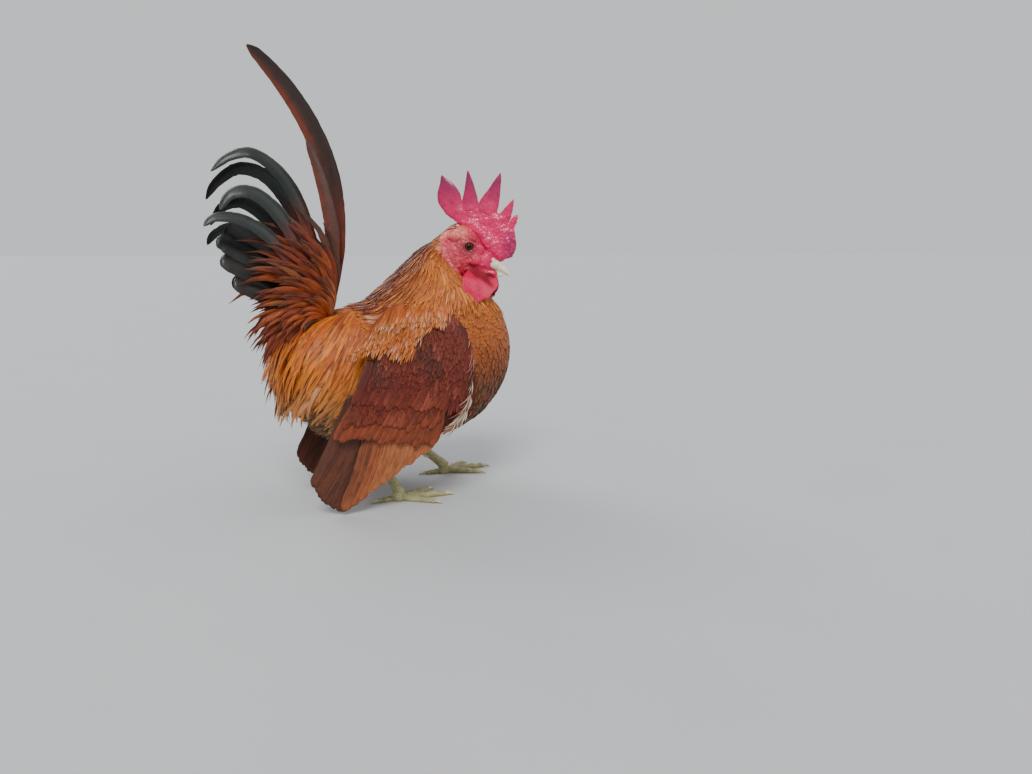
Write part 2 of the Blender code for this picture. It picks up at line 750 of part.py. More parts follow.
def kept_off(point, tree, height):
    """The point, pushed out of a guide where it is inside it or nearer to it than the height."""
    near, out, _, _ = tree.find_nearest(point)
    off = point - near
    if off.dot(out) < 0 and off.length < DEEPEST_PUSH:
        return near + out * height
    if off.length < height:
        return near + off.normalized() * height
    return point


def dense_trunk():
    """Rings for a fine guide surface of the trunk, which feathers are laid on."""
    return [
        turned(rib_ring(between(TRUNK_RIBS, place), 3 * TRUNK_SIDES), neck_turn(place))
        for place in places(0, NECK_TO, 0.2)
    ]


def torso_core_only(grow=0.0):
    """The trunk without the saddle's part."""
    torso = torso_core(grow)
    return boolean(torso, [saddle_box(GAP - grow)], "DIFFERENCE")


def build_torso():
    torso = torso_core_only()
    torso.name = "torso"
    finish_node(torso, "feather_brown")


def hackle_vanes(arms):
    """Tiers of pointed feathers that flow down the neck, each tier over the one below."""
    vanes = []
    for tier, count in enumerate(HACKLE_COUNTS):
        for k in range(count):
            angle = 2 * math.pi * (k + tier % 2 / 2) / count - math.pi
            hem = width_at(HACKLE_HEM, abs(math.degrees(angle)))
            tip = walk_up(hem, angle, tier * HACKLE_TIER_STEP)
            root = max(walk_up(tip, angle, HACKLE_LENGTH), NECK_FROM + HACKLE_LOWEST_ROOT)
            length = sum_length(tip, root, angle)
            if length < HACKLE_SHORTEST:
                continue
            path, outs = [], []
            for share in hackle_shares(length):
                place = root + (tip - root) * share
                height = height_at(HACKLE_HEIGHTS, length * share)
                point = trunk_point(place, angle, height)
                outs.append((trunk_point(place, angle, height + MM) - point).normalized())
                path.append(kept_off(point, arms, height + HACKLE_OVER_ARM) if share else point)
            middle = root + (tip - root) * 0.4
            room = (trunk_point(middle, angle + 2 * math.pi / count) - trunk_point(middle, angle)).length
            widest = min(HACKLE_WIDTH, room * HACKLE_ROOM)
            vanes.append(Vane(path, outs, widest, LANCE))
    return vanes


def hackle_shares(length):
    """Stations of a hackle feather: one where it leaves the neck, the rest evenly along it."""
    return (0, HACKLE_HEIGHTS[1][0] * MM / length, HACKLE_MIDDLE, 1)


def sum_length(low, high, angle):
    """Length along the trunk's surface between two places."""
    spots = [trunk_point(place, angle) for place in places(low, high, 0.25)]
    return sum((b - a).length for a, b in zip(spots, spots[1:]))


def walk_up(place, angle, distance):
    """The place reached after a distance up the trunk's surface, no farther than the neck's top."""
    step = 0.1
    here = trunk_point(place, angle)
    while distance > 0 and place < NECK_TO - step:
        place += step
        there = trunk_point(place, angle)
        distance -= (there - here).length
        here = there
    return place


def build_neck(vanes):
    neck = joined(neck_core(), vanes)
    cutters = [make(side, GAP) for side in (RIGHT, LEFT) for make in (wattle_leaf, ear_lobe)]
    cutters += [wing_arm(side, GAP) for side in (RIGHT, LEFT)]
    boolean(neck, [torso_core(GAP), head_core(GAP), *cutters], "DIFFERENCE", feathered=True)
    finish_node(neck, "feather_orange")


def saddle_box(grow=0.0):
    """A box whose front and lower faces part the saddle's core from the torso."""
    bm = bmesh.new()
    bmesh.ops.create_cube(bm, size=1)
    low = Vector((-SADDLE_BOX_REACH, -SADDLE_BOX_REACH, SADDLE_FLOOR - grow))
    high = Vector((SADDLE_FRONT + grow, SADDLE_BOX_REACH, SADDLE_BOX_REACH))
    for vert in bm.verts:
        vert.co = Vector([high[i] if c > 0 else low[i] for i, c in enumerate(vert.co)])
    return add_object("box", bm)


def saddle_core(grow=0.0):
    return boolean(torso_core(grow), [saddle_box(grow)], "INTERSECT")


def saddle_vanes(trunk):
    """Tiers of pointed feathers from the back down over the rump and past its end."""
    vanes = []
    for place, first, last, count, length, widest, down, up in SADDLE_TIERS:
        for side in (RIGHT, LEFT):
            for k in range(count):
                angle = side * math.radians(first + (last - first) * k / (count - 1))
                start = trunk_point(place, angle)
                rear = (trunk_point(place - 0.3, angle) - start).normalized()
                round_ = (trunk_point(place, angle + side * 0.1) - start).normalized()
                way = (rear + round_ * down + Vector((0, 0, up))).normalized()
                path, outs = draped(trunk, start, way, length * MM)
                vanes.append(Vane(path, outs, widest * MM, LANCE))
    return vanes


def draped(trunk, start, way, length):
    """A feather's midrib laid on the trunk: it rises along its length and sags past the end."""
    point, share = start, 0
    path, outs = [], []
    for next_share in hackle_shares(length):
        point = point + way * length * (next_share - share)
        share = next_share
        height = height_at(SADDLE_HEIGHTS, length * share)
        near, out, _, _ = trunk.find_nearest(point)
        off = (point - near).dot(out)
        if off < height or not path:
            point = near + out * height
        else:
            point = point - Vector((0, 0, 1)) * SADDLE_SAG * length * share
        if path:
            way = (point - path[-1]).normalized()
        way = (way - out * way.dot(out) * 0.5).normalized()
        path.append(point)
        outs.append(out)
    return path, outs


def build_saddle(vanes):
    saddle = joined(saddle_core(), vanes)
    saddle.name = "saddle"
    cutters = [torso_core_only(GAP), neck_core(GAP), tail_stub(GAP)]
    cutters += [wing_arm(side, GAP) for side in (RIGHT, LEFT)]
    boolean(saddle, cutters, "DIFFERENCE", feathered=True)
    finish_node(saddle, "feather_orange")


def tube(points, radii, sides, floor=False):
    """A round limb through points; with floor its underside is pressed flat on z = 0."""
    rings = []
    for k, point in enumerate(points):
        before = points[max(k - 1, 0)]
        after = points[min(k + 1, len(points) - 1)]
        along = (after - before).normalized()
        across = along.cross(Vector((0, 0, 1)))
        across = across.normalized() if across.length > 0.05 else SIDE
        up = across.cross(along).normalized()
        ring = []
        for j in range(sides):
            angle = 2 * math.pi * (j + 0.5) / sides
            spot = point + across * radii[k] * math.cos(angle) + up * radii[k] * math.sin(angle)
            if floor:
                spot.z = max(spot.z, 0)
            ring.append(spot)
        rings.append(ring)
    return loft(rings)


def drumstick(side, grow=0.0):
    top, hock = DRUMSTICK_TOPS[side], HOCKS[side]
    count = len(DRUMSTICK_RADII)
    points = [top.lerp(hock, k / (count - 1)) for k in range(count)]
    points[-1] += (hock - top).normalized() * grow
    radii = [radius * MM + grow for radius in DRUMSTICK_RADII]
    return add_object(f"drumstick_{SIDE_NAMES[side]}", tube(points, radii, 14))


def build_legs():
    for side in (RIGHT, LEFT):
        name = SIDE_NAMES[side]
        leg = drumstick(side)
        boolean(leg, [torso_core(GAP)], "DIFFERENCE")
        finish_node(leg, "feather_brown")
        build_shank(side, name)
        build_foot(side, name)


def build_shank(side, name):
    """The scaled leg from the drumstick's end to the foot, with the spur on its inner back."""
    hock, foot = HOCKS[side], FEET[side]
    down = (foot - hock).normalized()
    start = hock - down * SHANK_OVER_HOCK
    end = foot - down * GAP
    points = [start.lerp(end, share) for share, _ in SHANK_SWELL]
    radii = [SHANK_RADIUS * swell for _, swell in SHANK_SWELL]
    shank = add_object(f"shank_{name}", tube(points, radii, SHANK_SIDES))
    root = start.lerp(end, SPUR_PLACE)
    aim = mirrored(SPUR_AIM, -side).normalized()
    spur_points = [root + aim * reach * MM for reach, _ in SPUR_SHAPE]
    spur = add_object("spur", tube(spur_points, [radius * MM for _, radius in SPUR_SHAPE], SPUR_SIDES))
    boolean(shank, [spur], "UNION")
    boolean(shank, [drumstick(side, GAP)], "DIFFERENCE")
    finish_node(shank, "leg_olive")


def build_foot(side, name):
    """Four toes with claws from one pad; every underside lies on the floor."""
    centre = FEET[side]
    pad_points = [Vector((centre.x, centre.y, height * MM)) for height, _ in FOOT_PAD]
    foot = add_object(f"foot_{name}", tube_upright(pad_points, [radius * MM for _, radius in FOOT_PAD]))
    toes = []
    for length, spread, radius in TOES:
        aim = FOOT_TURN[side] + (spread if side == LEFT else -spread)
        toes.append(add_object("toe", toe_mesh(centre, aim, length, radius)))
    boolean(foot, toes, "UNION")
    reach = [HOCKS[side], centre]
    radius = SHANK_RADIUS * SHANK_SWELL[-1][1] + GAP
    cutter = add_object("cutter", tube(reach, [radius] * 2, SHANK_SIDES))
    boolean(foot, [cutter], "DIFFERENCE")
    finish_node(foot, "leg_olive")


def tube_upright(points, radii, sides=FOOT_PAD_SIDES):
    rings = []
    for point, radius in zip(points, radii):
        angles = [2 * math.pi * k / sides for k in range(sides)]
        rings.append([point + Vector((math.cos(a), math.sin(a), 0)) * radius for a in angles])
    return loft(rings)


def toe_mesh(centre, aim, length, radius):
    """A toe that swells at each joint and ends in a curved claw."""
    ahead = Vector((math.cos(aim), math.sin(aim), 0))
    root = Vector((centre.x, centre.y, 0)) + ahead * TOE_ROOT
    points = []
    radii = []
    for share, swell in TOE_SWELL:
        thick = radius * swell
        points.append(root + ahead * length * share + Vector((0, 0, thick * TOE_PAD)))
        radii.append(thick)
    tip = points[-1]
    for reach, rise, size in CLAW_SHAPE:
        spot = tip + ahead * CLAW_LENGTH * reach
        spot.z = max(tip.z + radius * rise, CLAW_LOWEST)
        points.append(spot)
        radii.append(radius * size)
    return tube(points, radii, TOE_SIDES, floor=True)


def wing_out(x, z):
    """How far the wing's outer face stands from the middle plane over a side-view point."""
    aft = (x / MM - WING_FALL_AFT[0]) / WING_FALL_AFT[1]
    fore = max(x / MM - WING_FALL_FORE[0], 0) / WING_FALL_FORE[1]
    high = max(z / MM - WING_FALL_HIGH[0], 0) / WING_FALL_HIGH[1]
    fall = WING_FALL_AFT[2] * aft**2 + WING_FALL_FORE[2] * fore**2 + WING_FALL_HIGH[2] * high**2
    return WING_OUT - fall * MM


def wing_ring(front, rear, thickness, side, grow=0.0):
    """A lens from the wing's front edge to its rear edge, thick towards the body."""
    ring = []
    half = WING_SIDES // 2
    chord = Vector((rear[0] - front[0], 0, rear[1] - front[1])) * MM
    along = chord.normalized()
    for k in range(WING_SIDES):
        share = k / half if k <= half else (WING_SIDES - k) / half
        eased = 0.5 - 0.5 * math.cos(math.pi * share)
        spot = Vector((front[0], 0, front[1])) * MM + chord * eased + along * grow * (2 * eased - 1)
        bulge = math.sin(math.pi * eased) ** 0.6
        outer = wing_out(spot.x, spot.z) - WING_EDGE_DROP * (1 - bulge) + grow
        inner = outer - thickness * MM * bulge - 2 * grow
        y = outer if k <= half else inner
        if k in (0, half):
            y = (outer + inner) / 2
        ring.append(Vector((spot.x, side * y, spot.z)))
    return ring


def wing_arm(side, grow=0.0):
    rings = []
    for place in places(0, len(WING_RIBS) - 1, 0.5):
        fx, fz, rx, rz, thick = between(WING_RIBS, place)
        rings.append(wing_ring((fx, fz), (rx, rz), thick, side, grow))
    return add_object(f"wing_{SIDE_NAMES[side]}", loft(rings))


def wing_point(x, z, height, side):
    """A point of the wing's outer face, raised by the height, all in metres."""
    return Vector((x, side * (wing_out(x, z) + height), z))


def wing_vanes(side):
    """Tiers of broad feathers that lie along the wing; a roll lifts each over the next."""
    vanes = []
    for shape, root_a, root_b, tip_a, tip_b, count, widest, low, high, roll in WING_TIERS:
        for k in range(count):
            share = k / (count - 1)
            root = Vector(root_a).lerp(Vector(root_b), share) * MM
            tip = Vector(tip_a).lerp(Vector(tip_b), share) * MM
            chord = tip - root
            rear = Vector((chord.y, -chord.x)).normalized()
            lean = Vector((rear.x, 0, rear.y)) * math.tan(math.radians(roll))
            out = (SIDE * side + lean).normalized()
            path = []
            for t, _ in shape:
                spot = root + chord * t - rear * chord.length * WING_FEATHER_BOW * 4 * t * (1 - t)
                path.append(wing_point(spot.x, spot.y, (low + (high - low) * t) * MM, side))
            vanes.append(Vane(path, [out] * len(path), widest * MM, shape))
    return vanes


def build_wing(side, vanes):
    wing = joined(wing_arm(side), vanes)
    wing.name = f"wing_{SIDE_NAMES[side]}"
    cutters = [torso_core(GAP), drumstick(side, GAP), neck_core(GAP)]
    boolean(wing, cutters, "DIFFERENCE", feathered=True)
    finish_node(wing, "feather_red")


def tail_stub(grow=0.0):
    bm = bmesh.new()
    bmesh.ops.create_uvsphere(bm, u_segments=14, v_segments=8, radius=1)
    for vert in bm.verts:
        vert.co = TAIL_ROOT + Vector([(s + grow) * c for s, c in zip(TAIL_ROOT_SIZE, vert.co)])
    return add_object("tail", bm)


def tail_vanes():
    """The sickles and the tail's main feathers one by one, then the coverts over their roots."""
    vanes = []
    for side, shape, near, far, widest, rib in TAIL_FEATHERS:
        shares = [k / 8 for k in range(9)] if shape is SICKLE else [share for share, _ in shape]
        path = []
        for share in shares:
            x, z = between(rib, share * (len(rib) - 1))
            apart = near + (far - near) * share
            path.append(Vector((x * MM, side * apart * MM, z * MM)))
        vanes.append(Vane(path, [SIDE * side] * len(path), widest * MM, shape, TAIL_THICKNESS))
    for first, last, length, widest, near, far, count in TAIL_COVERTS:
        for side in (RIGHT, LEFT):
            for k in range(count):
                heading = math.radians(first + (last - first) * k / (count - 1))
                vanes.append(tail_covert(side, heading, length * MM, widest * MM, near * MM, far * MM))
    return vanes


def tail_covert(side, heading, length, widest, near, far):
    """A covert beside the tail's root that leaves at its heading and bends over to the rear."""
    path = []
    for share, _ in POINTED:
        bent = heading - TAIL_COVERT_BEND * share**2
        reach = 2 * MM + length * share
        point = TAIL_ROOT + Vector((-math.cos(bent), 0, math.sin(bent))) * reach
        point.y = side * (near + (far - near) * share)
        path.append(point)
    return Vane(path, [SIDE * side] * len(path), widest, POINTED)


def build_tail(vanes):
    tail = joined(tail_stub(), vanes)
    tail.name = "tail"
    boolean(tail, [torso_core(GAP)], "DIFFERENCE", feathered=True)
    finish_node(tail, "feather_black")


def centre_on_floor():
    """Moves every node so that the origin is under the middle of the bird's box."""
    nodes = [obj for obj in bpy.data.objects if obj.type == "MESH"]
    corners = [vert.co for obj in nodes for vert in obj.data.vertices]
    middle = Vector((
        (min(c.x for c in corners) + max(c.x for c in corners)) / 2,
        (min(c.y for c in corners) + max(c.y for c in corners)) / 2,
        min(c.z for c in corners),
    ))
    for obj in nodes:
        obj.data.transform(Matrix.Translation(-middle))


def main():
    clear_scene()
    trunk = guide([add_object("guide", loft(dense_trunk()))])
    arms = guide([wing_arm(side) for side in (RIGHT, LEFT)])
    wings = {side: settle(wing_vanes(side)) for side in (RIGHT, LEFT)}
    tail = settle(tail_vanes())
    laid = [*wings[RIGHT], *wings[LEFT], *tail]
    hackle = settle(hackle_vanes(arms), laid)
    saddle = settle(saddle_vanes(trunk), [*laid, *hackle])
    build_torso()
    build_neck(hackle)
    build_saddle(saddle)
    build_tail(tail)
    for side in (RIGHT, LEFT):
        build_wing(side, wings[side])
    build_head()
    build_eyes()
    build_beak()
    build_ear_lobes()
    build_wattles()
    build_comb()
    build_legs()
    centre_on_floor()


main()
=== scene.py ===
"""The looks of a standing Serama cock: skin and face, feathers, legs, and a plain pale studio.

Shapes are worked out in millimetres in the bird's own frame, x the way the body faces, y its left,
z up, and are put into the frame's metres only when a mesh is made.
"""

import bpy
import numpy as np
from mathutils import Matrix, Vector


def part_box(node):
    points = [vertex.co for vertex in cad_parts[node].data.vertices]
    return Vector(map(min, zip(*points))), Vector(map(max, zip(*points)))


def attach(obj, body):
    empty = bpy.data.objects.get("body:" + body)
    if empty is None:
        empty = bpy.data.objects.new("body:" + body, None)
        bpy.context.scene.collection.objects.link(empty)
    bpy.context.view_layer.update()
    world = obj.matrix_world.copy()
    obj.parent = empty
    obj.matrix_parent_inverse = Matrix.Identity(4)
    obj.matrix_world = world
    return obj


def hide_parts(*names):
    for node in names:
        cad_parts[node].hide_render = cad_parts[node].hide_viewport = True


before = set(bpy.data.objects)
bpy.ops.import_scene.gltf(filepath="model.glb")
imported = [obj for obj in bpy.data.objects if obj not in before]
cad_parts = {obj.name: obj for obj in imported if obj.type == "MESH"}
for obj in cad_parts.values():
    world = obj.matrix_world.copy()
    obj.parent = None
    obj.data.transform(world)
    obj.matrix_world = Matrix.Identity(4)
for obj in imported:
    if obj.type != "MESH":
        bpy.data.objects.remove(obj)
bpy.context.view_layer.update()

RIGHT, LEFT = -1, 1
SIDE_NAMES = {RIGHT: "right", LEFT: "left"}

# The head turns to the bird's right about an upright axis through the top of the neck.
NECK_PIVOT = np.array([28.0, 0.0, 0.0])
HEAD_TURN = np.radians(-30)

# Trunk and neck from the rump to the head: back x, back z, belly x, belly z, half width.
TRUNK_RIBS = (
    (-99, 128, -102, 116, 7), (-91, 137, -99, 92, 22), (-78, 142, -91, 70, 33), (-64, 145, -72, 52, 40),
    (-53, 147, -38, 44, 44), (-46, 148, 4, 43, 46), (-40, 151, 40, 55, 46), (-34, 156, 64, 79, 44),
    (-27, 162, 73, 107, 41), (-18, 170, 69, 132, 37), (-8, 179, 60, 147, 31), (1, 187, 51, 156, 24),
    (9, 193.5, 42, 162.5, 17.5), (16, 199, 34, 167, 13),
)
NECK_FROM, NECK_TO = 9, 13
HEAD_RIBS = (
    (-12, 199, 6, 167, 13), (-7, 204, 8, 166, 13.6), (0, 207.5, 11, 165.5, 13.8), (8, 209, 15, 166, 13.4),
    (15, 207.5, 19, 167, 12), (21, 201.5, 23.5, 168.5, 9.8), (26, 193.5, 27, 170.5, 7.6),
    (29.5, 187, 29.5, 172.5, 5.8),
)
UPPER_BEAK_RIBS = (
    (27, 190, 26, 177.3, 6.4), (32, 186.3, 31, 175.6, 5.6), (37, 182.6, 35.8, 174.2, 4.4),
    (41.5, 178.5, 40, 172.8, 3), (45, 174, 43.4, 170.8, 1.7), (46.6, 170.2, 46.2, 169.4, 0.5),
)
LOWER_BEAK_RIBS = (
    (26, 176.7, 26.5, 170.2, 5.9), (31, 175, 31, 169.2, 4.9), (35.6, 173.6, 35.2, 169, 3.6),
    (39.6, 172.2, 39.2, 169.6, 2), (42, 171.2, 41.8, 170.6, 0.7),
)
NOSTRIL = (31, 4.6, 181.6)
EYE = (15.5, 9.4, 192.6)
EYE_RADIUS = 4.2
EYE_FACING = (0.25, 1, 0.12)
EAR_LOBE = (1.5, 12.6, 178.5)
WATTLE_PATH = (
    (24, 6.6, 176), (24.6, 8, 170), (25, 9.6, 164), (25.4, 11, 158), (26, 12, 153.5), (26.6, 12.2, 151),
)
WATTLE_WIDTHS = (20, 27, 28.5, 23, 14, 5)
WATTLE_THICKNESS = (2.6, 2.8, 3, 3.2, 3.4, 1.6)
# How far a wattle waves aside at each point of its path.
WATTLE_WAVE = (0, 0.3, 0.7, 0.2, -0.2, -0.4)
# How far a wattle's blade turns its rear edge out, over the feathers of the throat.
WATTLE_TURN = 0.6
COMB_RIDGE = ((44.5, 184), (42.5, 192), (37, 201), (27, 208), (16, 213.5), (8, 218), (1, 226))
COMB_RIDGE_WIDTHS = (7, 18, 27, 28, 24, 13, 11)
COMB_RIDGE_THICKNESS = (6.5, 6.1, 5.7, 5.3, 4.9, 4.6, 4.2)
# The comb's hindmost lobe, which bulges back clear of the crown.
COMB_REAR = ((16, 212), (8, 217), (1.5, 223.5), (-2, 231), (-4.3, 239), (-6.4, 244.5), (-7.4, 248))
COMB_REAR_WIDTHS = (12, 12, 16, 19, 13.5, 5.5, 1)
COMB_REAR_THICKNESS = (4.8, 4.6, 4.2, 3.7, 3, 2, 1.2)
# The comb's points: root x and z, tip x and z, width, and how far the tip leans to the left.
COMB_POINTS = (
    (15, 221, 13.5, 251, 14, -0.4), (27, 219, 39, 249, 17, 0.3), (37, 208, 49.5, 229, 11, -0.7),
    (40, 199, 52, 217, 9, 0.4),
)
# A comb point from root to tip: share of its length, share of its width, and thickness.
COMB_POINT_SHAPE = ((0, 1, 5.2), (0.3, 0.86, 4.3), (0.6, 0.55, 3.2), (0.85, 0.27, 2.3), (1, 0.08, 1.2))
COMB_POINT_BOW = 2.2
# The comb's swollen root, from the beak over the brow to the crown.
COMB_ROOT = ((36, 182.5), (37, 187), (33, 194), (26, 201), (18, 207), (11, 210.5), (7, 212.5))
COMB_ROOT_WIDTHS = (8, 13, 15, 13, 11, 7, 4)
COMB_ROOT_THICKNESS = (5, 8.5, 10.5, 11, 10, 7, 4)
# The cheek's hind edge, which ends in the ear lobe.
LOBE_PATH = (
    (-2.5, 11.6, 192), (-3, 12.4, 186), (-1.5, 13, 180), (1.5, 13, 174.5), (6, 12, 170), (10, 10.6, 167.5),
)
LOBE_WIDTHS = (4, 7, 9, 9, 7, 4)
LOBE_THICKNESS = (2.5, 3.2, 3.6, 3.6, 3.2, 2.5)
# Swellings of the face: middle and half sizes, among them brow, cheek, ear patch and the beak's corner.
FACE_SWELLS = (
    ((14, 9.4, 198.6), (8, 2.6, 2.2)), ((17, 9, 182.5), (8.5, 3.4, 5)), ((5, 11.2, 188.5), (5, 3, 5.5)),
    ((27, 0.5, 181.6), (6.6, 8, 8.4)), ((24, 6, 179.5), (6, 3, 3.4)), ((22, 7.5, 190.5), (5, 2.4, 5)),
    ((5, 10.4, 200), (6, 3, 4)), ((30, 3.2, 171.8), (6.8, 4.8, 3.2)),
)
# The two rings of skin round an eye: radius, thickness, distance out from the eye's middle, and height
# as a share of the width.
EYELIDS = ((4.2, 0.62, 2.35, 0.84), (5.4, 0.55, 1.3, 0.9))
# The head's skin is melted together in cells of this size and relaxed this many times.
SKIN_CELL, SKIN_ROUNDS = 0.5, 3
# Size of the pebbles on the comb and wattles, and of the finer ones on the face.
COMB_PEBBLE, FACE_PEBBLE = 2.5, 1.4
# How far the trunk's skin is drawn in under the coat, up to the bare neck, and how high the coat's top lies.
SKIN_DEPTH, NECK_SKIN_DEPTH, COAT_TOP = 3.2, 1.2, 4.4
# The most that a wattle is pressed aside by the neck's coat.
MOST_PRESSED = 14

FEET = {RIGHT: (-27, -30, 7), LEFT: (27, 30, 7)}
HOCKS = {RIGHT: (-42, -29, 34), LEFT: (-2, 29, 32)}
DRUMSTICK_TOPS = {RIGHT: (-14, -25, 72), LEFT: (16, 25, 70)}
DRUMSTICK_RADII = (19, 18, 14, 9, 6)
FOOT_TURN = {RIGHT: np.radians(-6), LEFT: np.radians(8)}
# Toes: length, spread from straight ahead in degrees, radius at the root.
TOES = ((30, -34, 2.7), (37, -2, 2.9), (29, 31, 2.6), (15, 172, 2.3))
# Thickness along the shank, a toe, a claw and the spur: share of the length, and share or size there.
SHANK_RADIUS = 3.9
SHANK_SWELLS = ((0, 1.0), (0.16, 1.2), (0.35, 0.95), (0.7, 0.92), (0.9, 1.08), (1, 1.0))
TOE_SWELLS = (
    (0, 1.12), (0.16, 1.0), (0.3, 0.84), (0.42, 0.96), (0.55, 0.76), (0.68, 0.88), (0.8, 0.68), (0.92, 0.76),
    (1, 0.3),
)
CLAW_SWELLS = ((-0.25, 0.35), (0, 0.58), (0.4, 0.46), (0.75, 0.28), (1, 0.06))
SPUR_RADII = ((0, 2.1), (0.6, 1.3), (1, 0.25))
# The sole's pad: height over the floor, and radius there.
PAD_HEIGHT = 7
PAD_RADII = ((0, 4.9), (2, 5.5), (5.2, 4.8), (7, 3.6))
TOE_ROOT, CLAW_LENGTH, SPUR_LENGTH = 1.5, 7, 7

# Wing arm from the shoulder to the wrist: front x, front z, rear x, rear z, thickness.
WING_RIBS = (
    (6, 153, -14, 151, 8), (20, 146, -30, 142, 15), (28, 130, -40, 126, 19), (30, 108, -47, 108, 20),
    (27, 88, -55, 92, 18), (18, 72, -63, 76, 14), (6, 60, -69, 64, 9), (-1, 54, -71, 59, 5),
)
# The arm's rear edge in side view: height, and x there.
WING_REAR = tuple(sorted((rear_z, rear_x) for _, _, rear_x, rear_z, _ in WING_RIBS))
WING_OUT = 57
WING_EDGE_DROP = 2.2

# The hackle's hem: degrees round from the back's middle line, and place along the trunk there.
HACKLE_HEM = (
    (0, 3.4), (42, 4.3), (57, 5.5), (66, 5.9), (71, 7.4), (79, 8.1), (95, 8.4), (130, 9.1), (180, 9.5),
)
TAIL_ROOT = np.array([-72.0, 0.0, 140.0])
# Points thrown at a surface by chance, which are then thinned to an even spacing.
CROWD = 60000


# Numbers and places.


def unit(vectors):
    """Vectors brought to length one."""
    return vectors / np.maximum(np.linalg.norm(vectors, axis=-1, keepdims=True), 1e-9)


def smooth_step(value, low, high):
    """0 below low and 1 above high, with an S-shaped rise between: 3t² − 2t³."""
    t = np.clip((value - low) / (high - low), 0, 1)
    return t * t * (3 - 2 * t)


def spline(rows, place):
    """Rows of numbers read at fractional places, on the Catmull-Rom curve through them."""
    rows = np.asarray(rows, float)
    last = len(rows) - 1
    place = np.clip(np.asarray(place, float), 0, last)
    first = np.minimum(place.astype(int), last - 1)
    t = (place - first)[..., None]
    p, q = rows[np.maximum(first - 1, 0)], rows[first]
    r, s = rows[first + 1], rows[np.minimum(first + 2, last)]
    return 0.5 * (2 * q + (r - p) * t + (2 * p - 5 * q + 4 * r - s) * t**2 + (3 * q - p - 3 * r + s) * t**3)


def table(rows, at):
    """A two-column table read at some values, straight between its rows."""
    rows = np.asarray(rows, float)
    return np.interp(at, rows[:, 0], rows[:, 1])


def turned(points, angle):
    """Points turned about the neck's upright axis by an angle, one for all or one for each."""
    x, y = points[..., 0] - NECK_PIVOT[0], points[..., 1]
    cos, sin = np.cos(angle), np.sin(angle)
    return np.stack([x * cos - y * sin + NECK_PIVOT[0], x * sin + y * cos, points[..., 2]], -1)


def from_head(points):
    """Points of the head's own frame put on the turned neck."""
    return turned(np.asarray(points, float) + NECK_PIVOT, HEAD_TURN)


def into_head(points):
    """Points of the bird's frame in the head's own."""
    return turned(points, -HEAD_TURN) - NECK_PIVOT


def to_side(points, side):
    """Points of the left side, mirrored where the side is the right."""
    return np.asarray(points, float) * (1, side, 1)


def across_and_up(way):
    """The level direction across a way, and the one at right angles to both."""
    across = unit(np.cross(way, (0, 0, 1)))
    return across, np.cross(across, way)


def ribbed(rows, place, angle, height=0.0):
    """A point on the ellipse between a rib's back and belly points, the angle turning from back to left."""
    row = spline(rows, place)
    zero = np.zeros_like(row[..., 0])
    back = np.stack([row[..., 0], zero, row[..., 1]], -1)
    belly = np.stack([row[..., 2], zero, row[..., 3]], -1)
    half = (back - belly) / 2
    long = np.linalg.norm(half, axis=-1, keepdims=True)
    angle, height = np.asarray(angle)[..., None], np.asarray(height, float)[..., None]
    across = np.array([0.0, 1.0, 0.0]) * (row[..., 4:5] + height) * np.sin(angle)
    return (back + belly) / 2 + half / long * (long + height) * np.cos(angle) + across


def trunk(place, angle, height=0.0):
    """The trunk and neck's surface, which turns to the right as the neck nears the head."""
    place, angle, height = np.broadcast_arrays(np.asarray(place, float), angle, height)
    return turned(ribbed(TRUNK_RIBS, place, angle, height), HEAD_TURN * smooth_step(place, NECK_FROM, NECK_TO))


def wing_out(x, z):
    """Distance of the wing's outer face from the middle plane: a dome that falls aft, fore and high up."""
    aft, fore, high = (x + 12) / 95, np.maximum(x - 2, 0) / 28, np.maximum(z - 90, 0) / 64
    return WING_OUT - 8 * aft**2 - 7 * fore**2 - 22 * high**2


def wing_arm(place, around, side):
    """The wing's arm: at each rib a lens, its outer face on the dome, round once from the front edge."""
    fx, fz, rx, rz, thick = np.moveaxis(spline(WING_RIBS, place), -1, 0)
    share = np.where(around <= 0.5, around * 2, 2 - around * 2)
    eased = 0.5 - 0.5 * np.cos(np.pi * share)
    x, z = fx + (rx - fx) * eased, fz + (rz - fz) * eased
    bulge = np.sin(np.pi * np.clip(eased, 0, 1)) ** 0.6
    outer = wing_out(x, z) - WING_EDGE_DROP * (1 - bulge)
    y = np.where(around <= 0.5, outer, outer - thick * bulge)
    return np.stack([x, side * y, z], -1)


def thigh(place, angle, side, height=0.0):
    """The drumstick: a cone of rings from the hip to the hock."""
    top, hock = np.array(DRUMSTICK_TOPS[side], float), np.array(HOCKS[side], float)
    across, up = across_and_up(unit(hock - top))
    radius = spline(np.array(DRUMSTICK_RADII, float)[:, None], place * 4)[..., 0] + height
    ring = across * np.cos(angle)[..., None] + up * np.sin(angle)[..., None]
    return top + (hock - top) * place[..., None] + ring * radius[..., None]


def grid(low, high, count, low2, high2, count2):
    """Two parameters over a grid, each with its own range and count of even steps."""
    return np.meshgrid(np.linspace(low, high, count), np.linspace(low2, high2, count2), indexing="ij")


